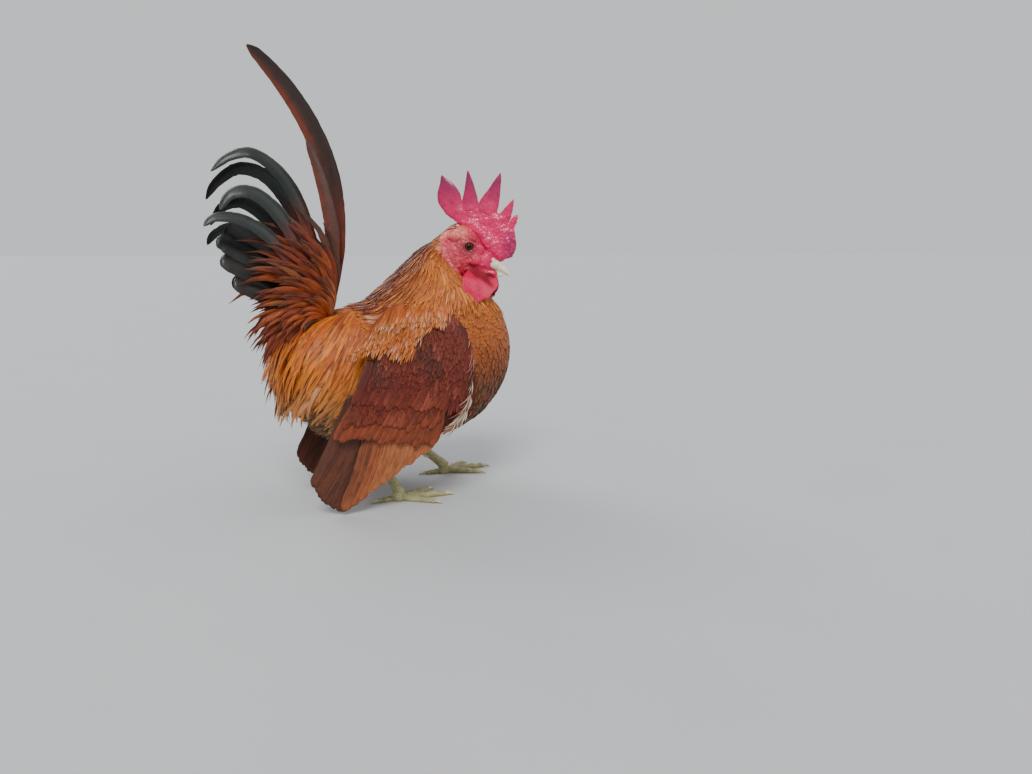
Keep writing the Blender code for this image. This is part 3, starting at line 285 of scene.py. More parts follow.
class Form:
    """A surface known by a cloud of its points and the way each of them faces."""

    def __init__(self, points, facing):
        self.points, self.facing = points.astype(np.float32), facing.astype(np.float32)

    def near(self, places):
        """Height of each place over the surface, and the way the surface faces there."""
        places = places.astype(np.float32)
        found = np.empty(len(places), int)
        square = (self.points**2).sum(1)
        for first in range(0, len(places), 1500):
            part = slice(first, first + 1500)
            found[part] = (square - 2 * places[part] @ self.points.T).argmin(1)
        facing = self.facing[found]
        return ((places - self.points[found]) * facing).sum(1), facing

    def with_others(self, *others):
        """This form and others as one, without the points of each that lie inside another."""
        forms = (self, *others)
        kept = []
        for form in forms:
            outside = np.ones(len(form.points), bool)
            for other in forms:
                if other is not form:
                    outside &= other.near(form.points)[0] > -0.4
            kept.append(outside)
        points = np.concatenate([form.points[keep] for form, keep in zip(forms, kept)])
        return Form(points, np.concatenate([form.facing[keep] for form, keep in zip(forms, kept)]))


def form_of(points, inside):
    """A form from a grid of points; inside is a point, or one for each row, that it faces away from."""
    along = np.gradient(points, axis=0)
    around = np.gradient(points, axis=1)
    facing = unit(np.cross(along, around))
    away = ((points - inside) * facing).sum(-1, keepdims=True)
    facing = facing * np.sign(np.median(away))
    keep = np.linalg.norm(np.cross(along, around), axis=-1) > 1e-4
    return Form(points[keep], facing[keep])


def trunk_form():
    """The trunk and neck as a form, facing away from each ring's middle."""
    place, angle = grid(0.02, NECK_TO, 90, 0, 2 * np.pi, 100)
    middle = trunk(place, angle).mean(axis=1, keepdims=True)
    return form_of(trunk(place, angle), middle)


def wing_form(side):
    """A wing's arm as a form."""
    place, around = grid(0, len(WING_RIBS) - 1, 40, 0, 1, 60)
    points = wing_arm(place, around, side)
    return form_of(points, points.mean(axis=1, keepdims=True))


def thigh_form(side):
    """A drumstick as a form."""
    place, angle = grid(0, 1, 20, 0, 2 * np.pi, 36)
    points = thigh(place, angle, side)
    return form_of(points, points.mean(axis=1, keepdims=True))


# The eye is where the frame puts it, which gives the shift from the bird's own frame to the frame's.
low_corner, high_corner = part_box("eye_right")
EYE_RIGHT = from_head(to_side(EYE, RIGHT))
SHIFT = (np.array(low_corner) + np.array(high_corner)) * 500 - EYE_RIGHT


def placed(points):
    """Points of the bird's frame in the frame's metres."""
    return (points + SHIFT) / 1000


# Materials.


class Value:
    """A number inside a material: sums written on it become the material's Math nodes."""

    def __init__(self, finish, socket):
        self.finish, self.socket = finish, socket

    def sum(self, operation, *values):
        """The result of one Math node."""
        return Value(self.finish, self.finish.node("Math", dict(enumerate(values)), operation=operation))

    def __add__(self, other):
        return self.sum("ADD", self, other)

    def __sub__(self, other):
        return self.sum("SUBTRACT", self, other)

    def __rsub__(self, other):
        return self.sum("SUBTRACT", other, self)

    def __mul__(self, other):
        return self.sum("MULTIPLY", self, other)

    def __abs__(self):
        return self.sum("ABSOLUTE", self)

    __radd__, __rmul__ = __add__, __mul__

    def sine(self):
        return self.sum("SINE", self)

    def higher(self, other):
        return self.sum("MAXIMUM", self, other)

    def rise(self, low, high, start=0.0, end=1.0):
        """From start to end as the value goes from low to high, smoothly, and flat beyond."""
        inputs = {"Value": self, "From Min": low, "From Max": high, "To Min": start, "To Max": end}
        return Value(self.finish, self.finish.node("MapRange", inputs, interpolation_type="SMOOTHSTEP"))


class Finish:
    """A material in the making: nodes are added by type, and what varies goes to the shader's sockets."""

    def __init__(self, name, roughness=0.5, **constants):
        self.material = bpy.data.materials.new(name)
        self.material.use_nodes = True
        self.tree = self.material.node_tree
        self.shader = self.tree.nodes["Principled BSDF"]
        self.shader.inputs["Roughness"].default_value = roughness
        for socket, value in constants.items():
            self.shader.inputs[socket.replace("_", " ")].default_value = value

    def put(self, socket, value):
        """Gives a socket a value: a number, a colour, or a link from another node."""
        if isinstance(value, Value):
            value = value.socket
        if isinstance(value, bpy.types.NodeSocket):
            self.tree.links.new(value, socket)
        elif socket.type == "RGBA":
            socket.default_value = (*value, 1)
        else:
            socket.default_value = value

    def node(self, kind, inputs=None, output=0, **settings):
        """A node of a type, its settings made first and then its sockets; gives the output asked for."""
        made = self.tree.nodes.new("ShaderNode" + kind)
        for setting, value in settings.items():
            setattr(made, setting, value)
        for socket, value in (inputs or {}).items():
            self.put(made.inputs[socket], value)
        return made.outputs[output]

    def parts(self, vector):
        """The three numbers of a vector."""
        split = self.node("SeparateXYZ", {0: vector})
        return [Value(self, output) for output in split.node.outputs]

    def join(self, x, y, z):
        """A vector from three numbers."""
        return self.node("CombineXYZ", {0: x, 1: y, 2: z})

    def attribute(self, name):
        """The three numbers that a piece's points carry under a name."""
        return self.node("Attribute", output="Vector", attribute_name=name)

    def place(self):
        """Object coordinates, in metres."""
        return self.node("TexCoord", output="Object")

    def noise(self, vector, scale, detail=2.0, roughness=0.5, distortion=0.0):
        """Cloudy noise, about 0.3 to 0.7."""
        inputs = {"Vector": vector, "Scale": scale, "Detail": detail, "Roughness": roughness,
                  "Distortion": distortion}
        return Value(self, self.node("TexNoise", inputs, output="Fac"))

    def cells(self, vector, scale, feature="F1"):
        """Distance to the middle of the nearest cell, or to its edge."""
        inputs = {"Vector": vector, "Scale": scale}
        return Value(self, self.node("TexVoronoi", inputs, output="Distance", feature=feature))

    def mix(self, first, second, share):
        """A colour between two others."""
        return self.node("Mix", {0: share, 6: first, 7: second}, output=2, data_type="RGBA")

    def bump(self, height, distance, strength):
        """Feeds the normal from heights that count for a distance in metres."""
        inputs = {"Height": height, "Distance": distance, "Strength": strength}
        self.put(self.shader.inputs["Normal"], self.node("Bump", inputs))

    def done(self, colour, roughness=None):
        """The finished material, with its colour and, where it varies, its roughness."""
        self.put(self.shader.inputs["Base Color"], colour)
        if roughness is not None:
            self.put(self.shader.inputs["Roughness"], roughness)
        return self.material


def tint(red, green, blue):
    """A colour given as it looks on a screen, 0 to 255, in the shader's linear numbers."""
    shares = np.array([red, green, blue]) / 255
    return np.where(shares <= 0.04045, shares / 12.92, ((shares + 0.055) / 1.055) ** 2.4)


def blend(first, second, share):
    """Colours between two, by a share for each feather or point."""
    share = np.clip(np.asarray(share, float), 0, 1)[..., None]
    return np.asarray(first) * (1 - share) + np.asarray(second) * share


BLACK = (0.0, 0.0, 0.0)
GOLD = tint(184, 84, 12)
BRIGHT_GOLD = tint(216, 116, 20)
PALE_GOLD = tint(224, 142, 56)
NAPE = tint(112, 40, 12)
DEEP_ORANGE = tint(170, 74, 20)
ROSY_CREAM = tint(240, 184, 160)
BROWN = tint(102, 58, 35)
RUSSET = tint(150, 72, 36)
RUST = tint(134, 50, 22)
TAN = tint(176, 124, 74)
ASH_BROWN = tint(104, 84, 66)
MAHOGANY = tint(98, 20, 8)
DARK_MAHOGANY = tint(56, 16, 9)
DUSKY_PINK = tint(170, 84, 66)
WHEAT = tint(184, 112, 66)
DARK_BROWN = tint(104, 54, 34)
BLACK_BROWN = tint(40, 30, 26)
BLACK_GREEN = tint(22, 32, 28)
STEEL = tint(74, 80, 78)
CREAM = tint(240, 222, 196)
COMB_BRIGHT = tint(220, 12, 92)
COMB_DARK = tint(122, 12, 74)
WATTLE_RED = tint(212, 6, 70)
# Crimson painted as shade into the fold where the wattle leaves the jaw.
CRIMSON_FOLD_SHADE = tint(124, 0, 22)
ROSE = tint(208, 50, 74)
DUSKY_ROSE = tint(152, 46, 62)
PEACH = tint(226, 138, 114)
LOBE_PINK = tint(240, 150, 148)


# Meshes.


def linked(name, data):
    """A new object of some data, in the scene."""
    made = bpy.data.objects.new(name, data)
    bpy.context.scene.collection.objects.link(made)
    return made


def add_piece(name, points, faces, finish):
    """A piece of the bird from points in its frame and blocks of faces with one count of corners each."""
    mesh = bpy.data.meshes.new(name)
    sizes = np.concatenate([np.full(len(block), block.shape[1]) for block in faces])
    corners = np.concatenate([block.ravel() for block in faces]).astype(np.int32)
    mesh.vertices.add(len(points))
    mesh.vertices.foreach_set("co", placed(points).astype(np.float32).ravel())
    mesh.loops.add(len(corners))
    mesh.loops.foreach_set("vertex_index", corners)
    mesh.polygons.add(len(sizes))
    mesh.polygons.foreach_set("loop_start", np.concatenate([[0], np.cumsum(sizes)[:-1]]).astype(np.int32))
    mesh.polygons.foreach_set("use_smooth", np.ones(len(sizes), bool))
    mesh.update(calc_edges=True)
    mesh.validate()
    mesh.materials.append(finish)
    piece = linked(name, mesh)
    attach(piece, "root")
    return piece


def tube_faces(rows, sides, first=0):
    """Quads of a tube of rings, and the two caps that close it."""
    row, side = np.meshgrid(np.arange(rows - 1), np.arange(sides), indexing="ij")
    near, far = row * sides, (row + 1) * sides
    after = (side + 1) % sides
    quads = np.stack([near + side, near + after, far + after, far + side], -1).reshape(-1, 4)
    caps = np.stack([np.arange(sides)[::-1], (rows - 1) * sides + np.arange(sides)])
    return [quads + first, caps + first]


def add_tubes(name, tubes, finish):
    """One piece from closed tubes, each a grid of points with a ring in every row."""
    points, faces, count = [], [], 0
    for tube in tubes:
        rows, sides = tube.shape[:2]
        centre = tube.mean(axis=1, keepdims=True)
        around = np.cross(tube[:, 1] - centre[:, 0], tube[:, 2] - centre[:, 0])
        ahead = np.gradient(centre[:, 0], axis=0)
        if np.median((around * ahead).sum(-1)) < 0:
            tube = tube[:, ::-1]
        points.append(tube.reshape(-1, 3))
        faces += tube_faces(rows, sides, count)
        count += rows * sides
    return add_piece(name, np.concatenate(points), faces, finish)


def give(piece, name, values):
    """Puts three numbers for each of a piece's points in an attribute that its material reads."""
    attribute = piece.data.attributes.new(name, "FLOAT_VECTOR", "POINT")
    attribute.data.foreach_set("vector", np.ascontiguousarray(values, np.float32).ravel())


def sharpen_rims(piece, sides, columns):
    """Marks both rims of each feather as sharp, so that its two faces shade as a blade's, not a tube's."""
    edges = np.empty(len(piece.data.edges) * 2, np.int32)
    piece.data.edges.foreach_get("vertices", edges)
    column = edges.reshape(-1, 2) % sides
    rim = (column[:, 0] == column[:, 1]) & np.isin(column[:, 0], (0, columns - 1))
    piece.data.attributes.new("sharp_edge", "BOOLEAN", "EDGE").data.foreach_set("value", rim)


def give_unwrap(piece, corners):
    """The bake's map, from a place on it for each point."""
    layer = piece.data.uv_layers.new(name="OFBake")
    index = np.empty(len(piece.data.loops), np.int32)
    piece.data.loops.foreach_get("vertex_index", index)
    layer.uv.foreach_set("vector", np.ascontiguousarray(corners[index], np.float32).ravel())


# Feathers.

# Outlines: share of the feather's length, and its width there as a share of its widest.
LANCE = ((0, 0.35), (0.15, 0.7), (0.45, 1), (0.75, 0.72), (0.92, 0.34), (1, 0.03))
ROUNDED = ((0, 0.4), (0.25, 0.8), (0.6, 1), (0.85, 0.84), (0.95, 0.55), (1, 0.12))
SOFT = ((0, 0.4), (0.3, 0.9), (0.6, 1), (0.8, 0.72), (0.92, 0.4), (1, 0.04))
STRAND = ((0, 0.6), (0.4, 1), (0.8, 0.7), (1, 0.05))
QUILL = ((0, 0.3), (0.12, 0.7), (0.35, 0.95), (0.65, 1), (0.88, 0.9), (0.96, 0.68), (1, 0.2))
SICKLE = ((0, 0.5), (0.15, 0.8), (0.4, 1), (0.7, 0.78), (0.9, 0.5), (1, 0.08))


class Feathers:
    """Many feathers at once: a midrib for each, the way it faces, its half widths and its thickness."""

    def __init__(self, paths, outs, halves, unwrap, seed, thick=0.25, camber=0.09, columns=3):
        self.paths, self.outs, self.halves = paths, outs, halves
        self.unwrap, self.thick, self.camber, self.columns = unwrap, thick, camber, columns
        self.chance = np.random.default_rng(seed).random(len(paths))
        self.roots = paths[:, 0]

    def keep(self, kept):
        """Leaves out the feathers that are not kept."""
        for name in ("paths", "outs", "halves", "unwrap", "chance", "roots"):
            setattr(self, name, getattr(self, name)[kept])

    def ring(self):
        """How far across the feather each point of a ring lies, -1 to 1 over its upper side and back below."""
        share = np.linspace(-1, 1, self.columns)
        return np.concatenate([share, share[-2:0:-1]])

    def stations(self):
        """Cross-sections: a thin lens, its upper side arched over the midrib, ring by ring."""
        columns = self.columns
        share = self.ring()
        top = np.concatenate([np.ones(columns), -np.ones(columns - 2)])
        arch = 1 - share**2
        along = unit(np.gradient(self.paths, axis=1))
        across = unit(np.cross(along, self.outs))
        out = np.cross(across, along)
        half = self.halves[:, :, None]
        lift = arch * self.camber * half + top * arch**0.5 * self.thick / 2
        points = self.paths[:, :, None] + across[:, :, None] * (share * half)[..., None]
        return points + out[:, :, None] * lift[..., None], share

    def add(self, name, finish, slot, body, tip, patch=0.003):
        """The piece of all the feathers, dyed with a body and a tip colour for each one or for each of its
        points; the patch is a feather's size on the bake's map."""
        points, share = self.stations()
        count, rows, sides = points.shape[:3]
        quads, caps = tube_faces(rows, sides)
        first = (np.arange(count) * rows * sides)[:, None, None]
        faces = [(quads[None] + first).reshape(-1, 4), (caps[None] + first).reshape(-1, sides)]
        piece = add_piece(name, points.reshape(-1, 3), faces, finish)
        sharpen_rims(piece, sides, self.columns)
        steps = np.linalg.norm(np.diff(self.paths, axis=1), axis=-1)
        reach = np.concatenate([np.zeros((count, 1)), np.cumsum(steps, axis=1)], axis=1)
        along = reach / np.maximum(reach[:, -1:], 1e-6)
        shape = (count, rows, sides)
        along = np.broadcast_to(along[:, :, None], shape)
        across = np.broadcast_to(share, shape)
        chance = np.broadcast_to(self.chance[:, None, None], shape)
        give(piece, "lie", np.stack([along, across, chance], -1))
        far = np.broadcast_to(reach[:, :, None], shape)
        give(piece, "reach", np.stack([far, across * self.halves[:, :, None], far * 0], -1))
        for attribute, dye in (("dye", body), ("tip", tip)):
            dye = dye[:, None, None] if np.ndim(dye) == 2 else dye
            give(piece, attribute, np.broadcast_to(dye, (*shape, 3)))
        centre = self.unwrap[:, None, None]
        size = np.broadcast_to(np.asarray(patch, float), (2,))
        spot = centre + np.stack([across / 2 * size[0], (along - 0.5) * size[1]], -1)
        give_unwrap(piece, spot.reshape(-1, 2))
        return piece


def lay(form, roots, ways, lengths, shares, rises, cling, droop):
    """Midribs laid on a form: each step goes on the same way, is lifted to its height over the form,
    is drawn back towards it where it clings, and hangs where it reaches past."""
    height, out = form.near(roots)
    point = roots + out * (rises[0] - height)[:, None]
    way = unit(ways - out * (ways * out).sum(-1, keepdims=True))
    paths, outs = [point], [out]
    for k in range(1, len(shares)):
        step = lengths * (shares[k] - shares[k - 1])
        moved = point + way * step[:, None]
        height, found = form.near(moved)
        close = np.clip(1.6 - height / 14, 0, 1)
        short = rises[k] - height
        pull, hold = np.where(short > 0, short, short * cling), np.where(short > 0, 1, close)
        moved = moved + found * pull[:, None] * hold[:, None]
        moved[:, 2] -= droop * step * shares[k] * (1 - close * 0.7)
        way = unit(moved - point)
        point = point + way * step[:, None]
        out = unit(out * (1 - close * 0.7)[:, None] + found * close[:, None] * 0.7)
        out = unit(out - way * (out * way).sum(-1, keepdims=True))
        paths.append(point)
        outs.append(out)
    return np.stack(paths, 1), np.stack(outs, 1)


def thinned(points, spacing, seed):
    """Which of some crowded points to keep, so that they lie about a spacing apart: the one nearest the
    middle of each cell of a lattice."""
    lattice = np.random.default_rng(seed).random(3) + points / spacing
    cell = np.floor(lattice).astype(int)
    off = np.linalg.norm(lattice - cell - 0.5, axis=1)
    order = np.lexsort((off, cell[:, 2], cell[:, 1], cell[:, 0]))
    ordered = cell[order]
    fresh = np.ones(len(order), bool)
    fresh[1:] = (ordered[1:] != ordered[:-1]).any(1)
    kept = order[fresh]
    return kept[off[kept] < 0.72]


def on_trunk(low, high, spacing, seed):
    """Places and angles scattered evenly over the trunk between two places."""
    chance = np.random.default_rng(seed)
    place = low + (high - low) * chance.random(CROWD)
    angle = 2 * np.pi * chance.random(CROWD) - np.pi
    kept = thinned(trunk(place, angle), spacing, seed)
    return place[kept], angle[kept]


def lie_of_trunk(place, angle):
    """The way the coat lies on the trunk: down the places, from the head to the rump."""
    return unit(trunk(np.maximum(place - 0.15, 0), angle) - trunk(place, angle))


def trunk_unwrap(place, angle):
    """The trunk's unwrap fills the left three quarters of the map."""
    return np.stack([0.02 + 0.7 * (angle / (2 * np.pi) % 1), 0.02 + 0.96 * place / NECK_TO], -1)


def swung(ways, outs, angles):
    """Directions turned about the way the surface faces."""
    side = np.cross(outs, ways)
    return ways * np.cos(angles)[:, None] + side * np.sin(angles)[:, None]


def coat(form, roots, ways, unwrap, seed, length, width, shape, rise, count, cling, droop, sway, sink):
    """Feathers from roots along their ways, of varied length and width, each swung aside by chance; the
    root is sunk under the form and the tip rises over it."""
    chance = np.random.default_rng(seed)
    total = len(roots)
    lengths = length * (0.85 + 0.3 * chance.random(total))
    widths = width * (0.85 + 0.3 * chance.random(total))
    _, outs = form.near(roots)
    ways = swung(ways, outs, np.radians(sway) * chance.normal(0, 1, total))
    shares = np.linspace(0, 1, count)
    lift = 0.7 + 0.6 * chance.random(total)
    rises = [-sink + (rise + sink) * share**0.8 * lift for share in shares]
    paths, outs = lay(form, roots, ways, lengths, shares, rises, cling, droop)
    halves = table(shape, shares)[None] * widths[:, None] / 2
    return Feathers(paths, outs, halves, unwrap, seed, 0.28, 0.16)


# Skin and head.


def leaf_tube(path, widths, thicknesses, face, sides=28, rows=40):
    """A flat lobe: thin ellipses along a curve through the path's points, wide across it."""
    place = np.linspace(0, len(path) - 1, rows)
    middle = spline(path, place)
    wide = np.maximum(spline(np.array(widths, float)[:, None], place), 0.4)
    thick = np.maximum(spline(np.array(thicknesses, float)[:, None], place), 0.4)
    along = unit(np.gradient(middle, axis=0))
    across = unit(np.cross(along, face))
    out = np.cross(across, along)
    angle = np.linspace(0, 2 * np.pi, sides, endpoint=False)
    ring = across[:, None] * (wide / 2 * np.cos(angle))[..., None]
    return middle[:, None] + ring + out[:, None] * (thick / 2 * np.sin(angle))[..., None]


def ball(centre, size, rows=20, sides=28):
    """An ellipsoid in the head's frame, as rings from pole to pole."""
    lat, lon = grid(0.04, np.pi - 0.04, rows, 0, 2 * np.pi * (1 - 1 / sides), sides)
    shape = np.stack([np.sin(lat) * np.cos(lon), np.sin(lat) * np.sin(lon), np.cos(lat)], -1)
    return np.asarray(centre, float) + shape * np.asarray(size, float)


def eyelid(side, radius, thick, out_by, squash):
    """A ring of skin round the eye, thicker above, as a closed loop of small circles."""
    out = unit(to_side(EYE_FACING, side))
    across, up = across_and_up(out)
    lap, turn = grid(0, 2 * np.pi, 49, 0, 2 * np.pi * 15 / 16, 16)
    spoke = across * np.cos(lap)[..., None] + up * (squash * np.sin(lap))[..., None]
    thick = thick * (1 + 0.3 * np.sin(lap))
    centre = to_side(EYE, side) + out * out_by
    ring = spoke * (radius + thick * np.cos(turn))[..., None]
    return centre + ring + out * (thick * np.sin(turn))[..., None]


def head_shape(place, angle, height=0.0):
    """The skull and cheeks in the head's own frame."""
    return ribbed(HEAD_RIBS, place, angle, np.broadcast_to(height, np.shape(place)))


def comb_tubes():
    """The comb's ridge, rear lobe, points and root, each a leaf about the head's middle plane."""
    def leaf(path, widths, thicknesses, rows):
        return leaf_tube([(x, 0, z) for x, z in path], widths, thicknesses, (0, 1, 0), rows=rows)

    tubes = [leaf(COMB_RIDGE, COMB_RIDGE_WIDTHS, COMB_RIDGE_THICKNESS, 60),
             leaf(COMB_REAR, COMB_REAR_WIDTHS, COMB_REAR_THICKNESS, 60)]
    share, wide, thick = np.array(COMB_POINT_SHAPE).T
    for root_x, root_z, tip_x, tip_z, width, lean in COMB_POINTS:
        x = root_x + (tip_x - root_x) * share + COMB_POINT_BOW * share * (1 - share)
        path = np.stack([x, lean * share**2 * 2.2, root_z + (tip_z - root_z) * share], -1)
        tubes.append(leaf_tube(path, width * wide, thick, (0, 1, 0), rows=36))
    return [*tubes, leaf(COMB_ROOT, COMB_ROOT_WIDTHS, COMB_ROOT_THICKNESS, 50)]


def wattle_tube(side):
    """A wattle, which waves a little as it hangs from the jaw."""
    path = to_side(WATTLE_PATH, side)
    path[:, 1] += side * np.array(WATTLE_WAVE)
    return leaf_tube(path, WATTLE_WIDTHS, WATTLE_THICKNESS, to_side((WATTLE_TURN, 1, 0), side), rows=36)


def loose_mesh(tubes):
    """A plain object in millimetres from closed tubes, to be remeshed."""
    points, faces, count = [], [], 0
    for tube in tubes:
        rows, sides = tube.shape[:2]
        points.append(tube.reshape(-1, 3))
        for block in tube_faces(rows, sides, count):
            faces += block.tolist()
        count += rows * sides
    mesh = bpy.data.meshes.new("loose")
    mesh.from_pydata(np.concatenate(points).tolist(), [], faces)
    return linked("loose", mesh)


def melted(tubes, cell, rounds):
    """Tubes fused into one surface of cells of a size, then relaxed: each point goes half way to the
    middle of its neighbours, for some rounds. Gives points and quads."""
    loose = loose_mesh(tubes)
    remesh = loose.modifiers.new("remesh", "REMESH")
    remesh.mode, remesh.voxel_size = "VOXEL", cell
    remesh.use_smooth_shade = True
    graph = bpy.context.evaluated_depsgraph_get()
    mesh = bpy.data.meshes.new_from_object(loose.evaluated_get(graph))
    bpy.data.objects.remove(loose)
    points = np.empty(len(mesh.vertices) * 3)
    mesh.vertices.foreach_get("co", points)
    points = points.reshape(-1, 3)
    edges = np.empty(len(mesh.edges) * 2, np.int64)
    mesh.edges.foreach_get("vertices", edges)
    first, second = edges.reshape(-1, 2).T
    quads = np.empty(len(mesh.loops), np.int64)
    mesh.loops.foreach_get("vertex_index", quads)
    assert all(len(face.vertices) == 4 for face in mesh.polygons[:50])
    bpy.data.meshes.remove(mesh)
    count = np.bincount(np.concatenate([first, second]), minlength=len(points))[:, None]
    for _ in range(rounds):
        total = np.zeros_like(points)
        np.add.at(total, first, points[second])
        np.add.at(total, second, points[first])
        points = points + 0.5 * (total / count - points)
    return points, quads.reshape(-1, 4)


def facing_of(points, quads):
    """The way each point of a closed mesh of quads faces: the sum of its faces' areas."""
    diagonal = np.cross(points[quads[:, 2]] - points[quads[:, 0]], points[quads[:, 3]] - points[quads[:, 1]])
    total = np.zeros_like(points)
    for corner in range(4):
        np.add.at(total, quads[:, corner], diagonal)
    return unit(total)


def pebbles(points, size, seed):
    """Rounded bumps packed like pebbles, 0 to 1: one less the distance to the nearest scattered middle."""
    cell = np.floor(points / size).astype(np.int64)
    nearest = np.full(len(points), 9.0)
    for x in (-1, 0, 1):
        for y in (-1, 0, 1):
            for z in (-1, 0, 1):
                other = cell + (x, y, z)
                turns = other @ np.array([[127.1, 269.5, 419.2], [311.7, 183.3, 371.9], [74.7, 246.1, 168.3]])
                jitter = np.sin(turns + seed) * 43758.5453 % 1
                away = np.linalg.norm(points / size - other - jitter, axis=1)
                nearest = np.minimum(nearest, away)
    return np.clip(1 - nearest, 0, 1)


def stirred(points, size, depth, seed):
    """Places pushed about by soft swells of a size, so that what is drawn on them runs uneven."""
    return points + depth * np.stack([waves(points, size, seed + k) for k in range(points.shape[-1])], -1)


def waves(points, size, seed):
    """Soft uneven swells, about -1 to 1: a few sine waves in scattered directions, added."""
    chance = np.random.default_rng(seed)
    total = np.zeros(len(points))
    for _ in range(6):
        way = unit(chance.normal(size=points.shape[-1])) * 2 * np.pi / (size * (0.7 + 0.8 * chance.random()))
        total += np.sin(points @ way + 6.28 * chance.random())
    return total / 3.2


def head_flesh(neck):
    """Skull, lids, brows, comb, wattles and lobes melted into one skin, with its grain and folds raised.

    Gives points in the bird's frame, quads, for each point how much it is comb, wattle and lobe, how deep
    it lies in the jaw's fold, and its colour.
    """
    place, angle = grid(0, len(HEAD_RIBS) - 1, 60, 0, 2 * np.pi * 47 / 48, 48)
    skull = head_shape(place, angle)
    neck_end = skull[0] + (skull[0] - skull[6]) * 0.8
    tubes = [np.concatenate([neck_end[None], skull]), *comb_tubes()]
    for side in (RIGHT, LEFT):
        tubes += [wattle_tube(side), *(eyelid(side, *lid) for lid in EYELIDS)]
        tubes += [ball(to_side(centre, side), size) for centre, size in FACE_SWELLS]
        lobe_face = to_side((0.35, 1, 0), side)
        tubes.append(leaf_tube(to_side(LOBE_PATH, side), LOBE_WIDTHS, LOBE_THICKNESS, lobe_face, rows=30))
    points, quads = melted(tubes, SKIN_CELL, SKIN_ROUNDS)
    facing = facing_of(points, quads)
    skull_form = form_of(skull, skull.mean(axis=1, keepdims=True))
    height, _ = skull_form.near(points)
    x, y, z = points.T
    aside = abs(y)
    even = np.stack([x, aside, z], -1)
    comb = smooth_step(height, 0.6, 2.2) * smooth_step(7.5 - aside, 0, 1.5) * smooth_step(z, 181, 187)
    comb = np.maximum(comb, smooth_step(x - 27, 0, 3) * smooth_step(z, 182, 188))
    wattle = smooth_step(height, 0.2, 1.6) * smooth_step(179 - z, 0, 4) * smooth_step(x, 11, 15)
    lobe_at = np.linalg.norm((even - EAR_LOBE - (0, 0, 3)) / (7, 8, 12), axis=1)
    lobe = smooth_step(1.2 - lobe_at, 0, 0.3) * (1 - wattle)
    eye_at = np.linalg.norm((even - EYE) * (1, 0.6, 1.15), axis=1)
    low_comb = comb * smooth_step(232 - z, 0, 22)
    bare = (1 - comb) * (1 - wattle)
    near_eye = smooth_step(9.5 - eye_at, 0, 4) * smooth_step(eye_at, 4.6, 5.6)
    grain = pebbles(points, COMB_PEBBLE, 3) * (0.95 * low_comb + 0.2 * wattle)
    grain += pebbles(points, FACE_PEBBLE, 8) * (0.12 * low_comb + 0.14 * bare)
    uneven = stirred(points, 6, 2.2, 31)
    folds = waves(points * (1, 1, 0.55), 5.5, 2) * 0.55 * wattle
    folds += waves(uneven * (0.9, 0.9, 1.3), 4.4, 4) * 0.32 * bare
    folds += np.sin(eye_at * 2 * np.pi / 2.1 + 1.8 * waves(points, 7, 12)) * 0.16 * near_eye * bare
    folds += waves(points, 11, 5) * (0.2 + 0.35 * low_comb) * comb
    folds -= 1.1 * jaw_fold(even)
    keep_lid = smooth_step(eye_at, 3.9, 5.0)
    points = points + facing * ((grain + folds) * (0.25 + 0.75 * keep_lid))[:, None]
    colour = face_dyes(even, comb, wattle, lobe, eye_at, grain)
    hung = draped(from_head(points), wattle * smooth_step(176 - z, 0, 8), neck)
    return hung, quads, np.stack([comb, wattle, lobe], -1), jaw_fold(even), colour


def draped(points, share, neck_form):
    """Wattles laid over the neck. The coat's top beside each point is a mean weighed by nearness and
    height, a point under it is pressed aside to lie on it, and the pushes are evened out over the
    wattle."""
    own, coat_top = into_head(points), into_head(neck_form.points + COAT_TOP * neck_form.facing)
    pressed = np.zeros(len(points))
    for side in (RIGHT, LEFT):
        near = np.flatnonzero((share > 0.01) & (own[:, 1] * side > 0))
        neck = coat_top[(coat_top[:, 1] * side > 0) & (coat_top[:, 2] > 142) & (coat_top[:, 0] > -8)]
        apart = ((own[near, None, ::2] - neck[None, :, ::2]) ** 2).sum(-1)
        weight = np.exp(-apart / 6)
        met = smooth_step(weight.sum(1), 0.03, 0.4)
        weight *= np.exp(abs(neck[:, 1]) / 3 - 8)
        cover = (weight @ abs(neck[:, 1])) / np.maximum(weight.sum(1), 1e-12)
        aside = abs(own[near, 1])
        push = np.clip(cover + 0.6 + 0.4 * (aside - 10) - aside, 0, MOST_PRESSED) * met
        flat = own[near, ::2].astype(np.float32)
        square = (flat**2).sum(1)
        close = np.exp((2 * flat @ flat.T - square[:, None] - square[None]) / 14)
        pressed[near] = side * (close @ push) / close.sum(1)
    sideways = np.array([-np.sin(HEAD_TURN), np.cos(HEAD_TURN), 0])
    return points + sideways * (pressed * share)[:, None]


def jaw_fold(spots):
    """How deep in the fold under the jaw a spot lies, 0 to 1: a band that falls forwards under the beak, where
    the wattle leaves the jaw; the face's dyes paint crimson shade into it."""
    x, aside, z = spots.T
    off = abs(z - 177 + 0.6 * (x - 16.5)) / (2.9 + 0.15 * np.maximum(x - 16, 0))
    along = smooth_step(x, 12, 19) * smooth_step(43 - x, 0, 4) * smooth_step(aside, 5, 7)
    return smooth_step(1.2 - off, 0, 0.8) * along


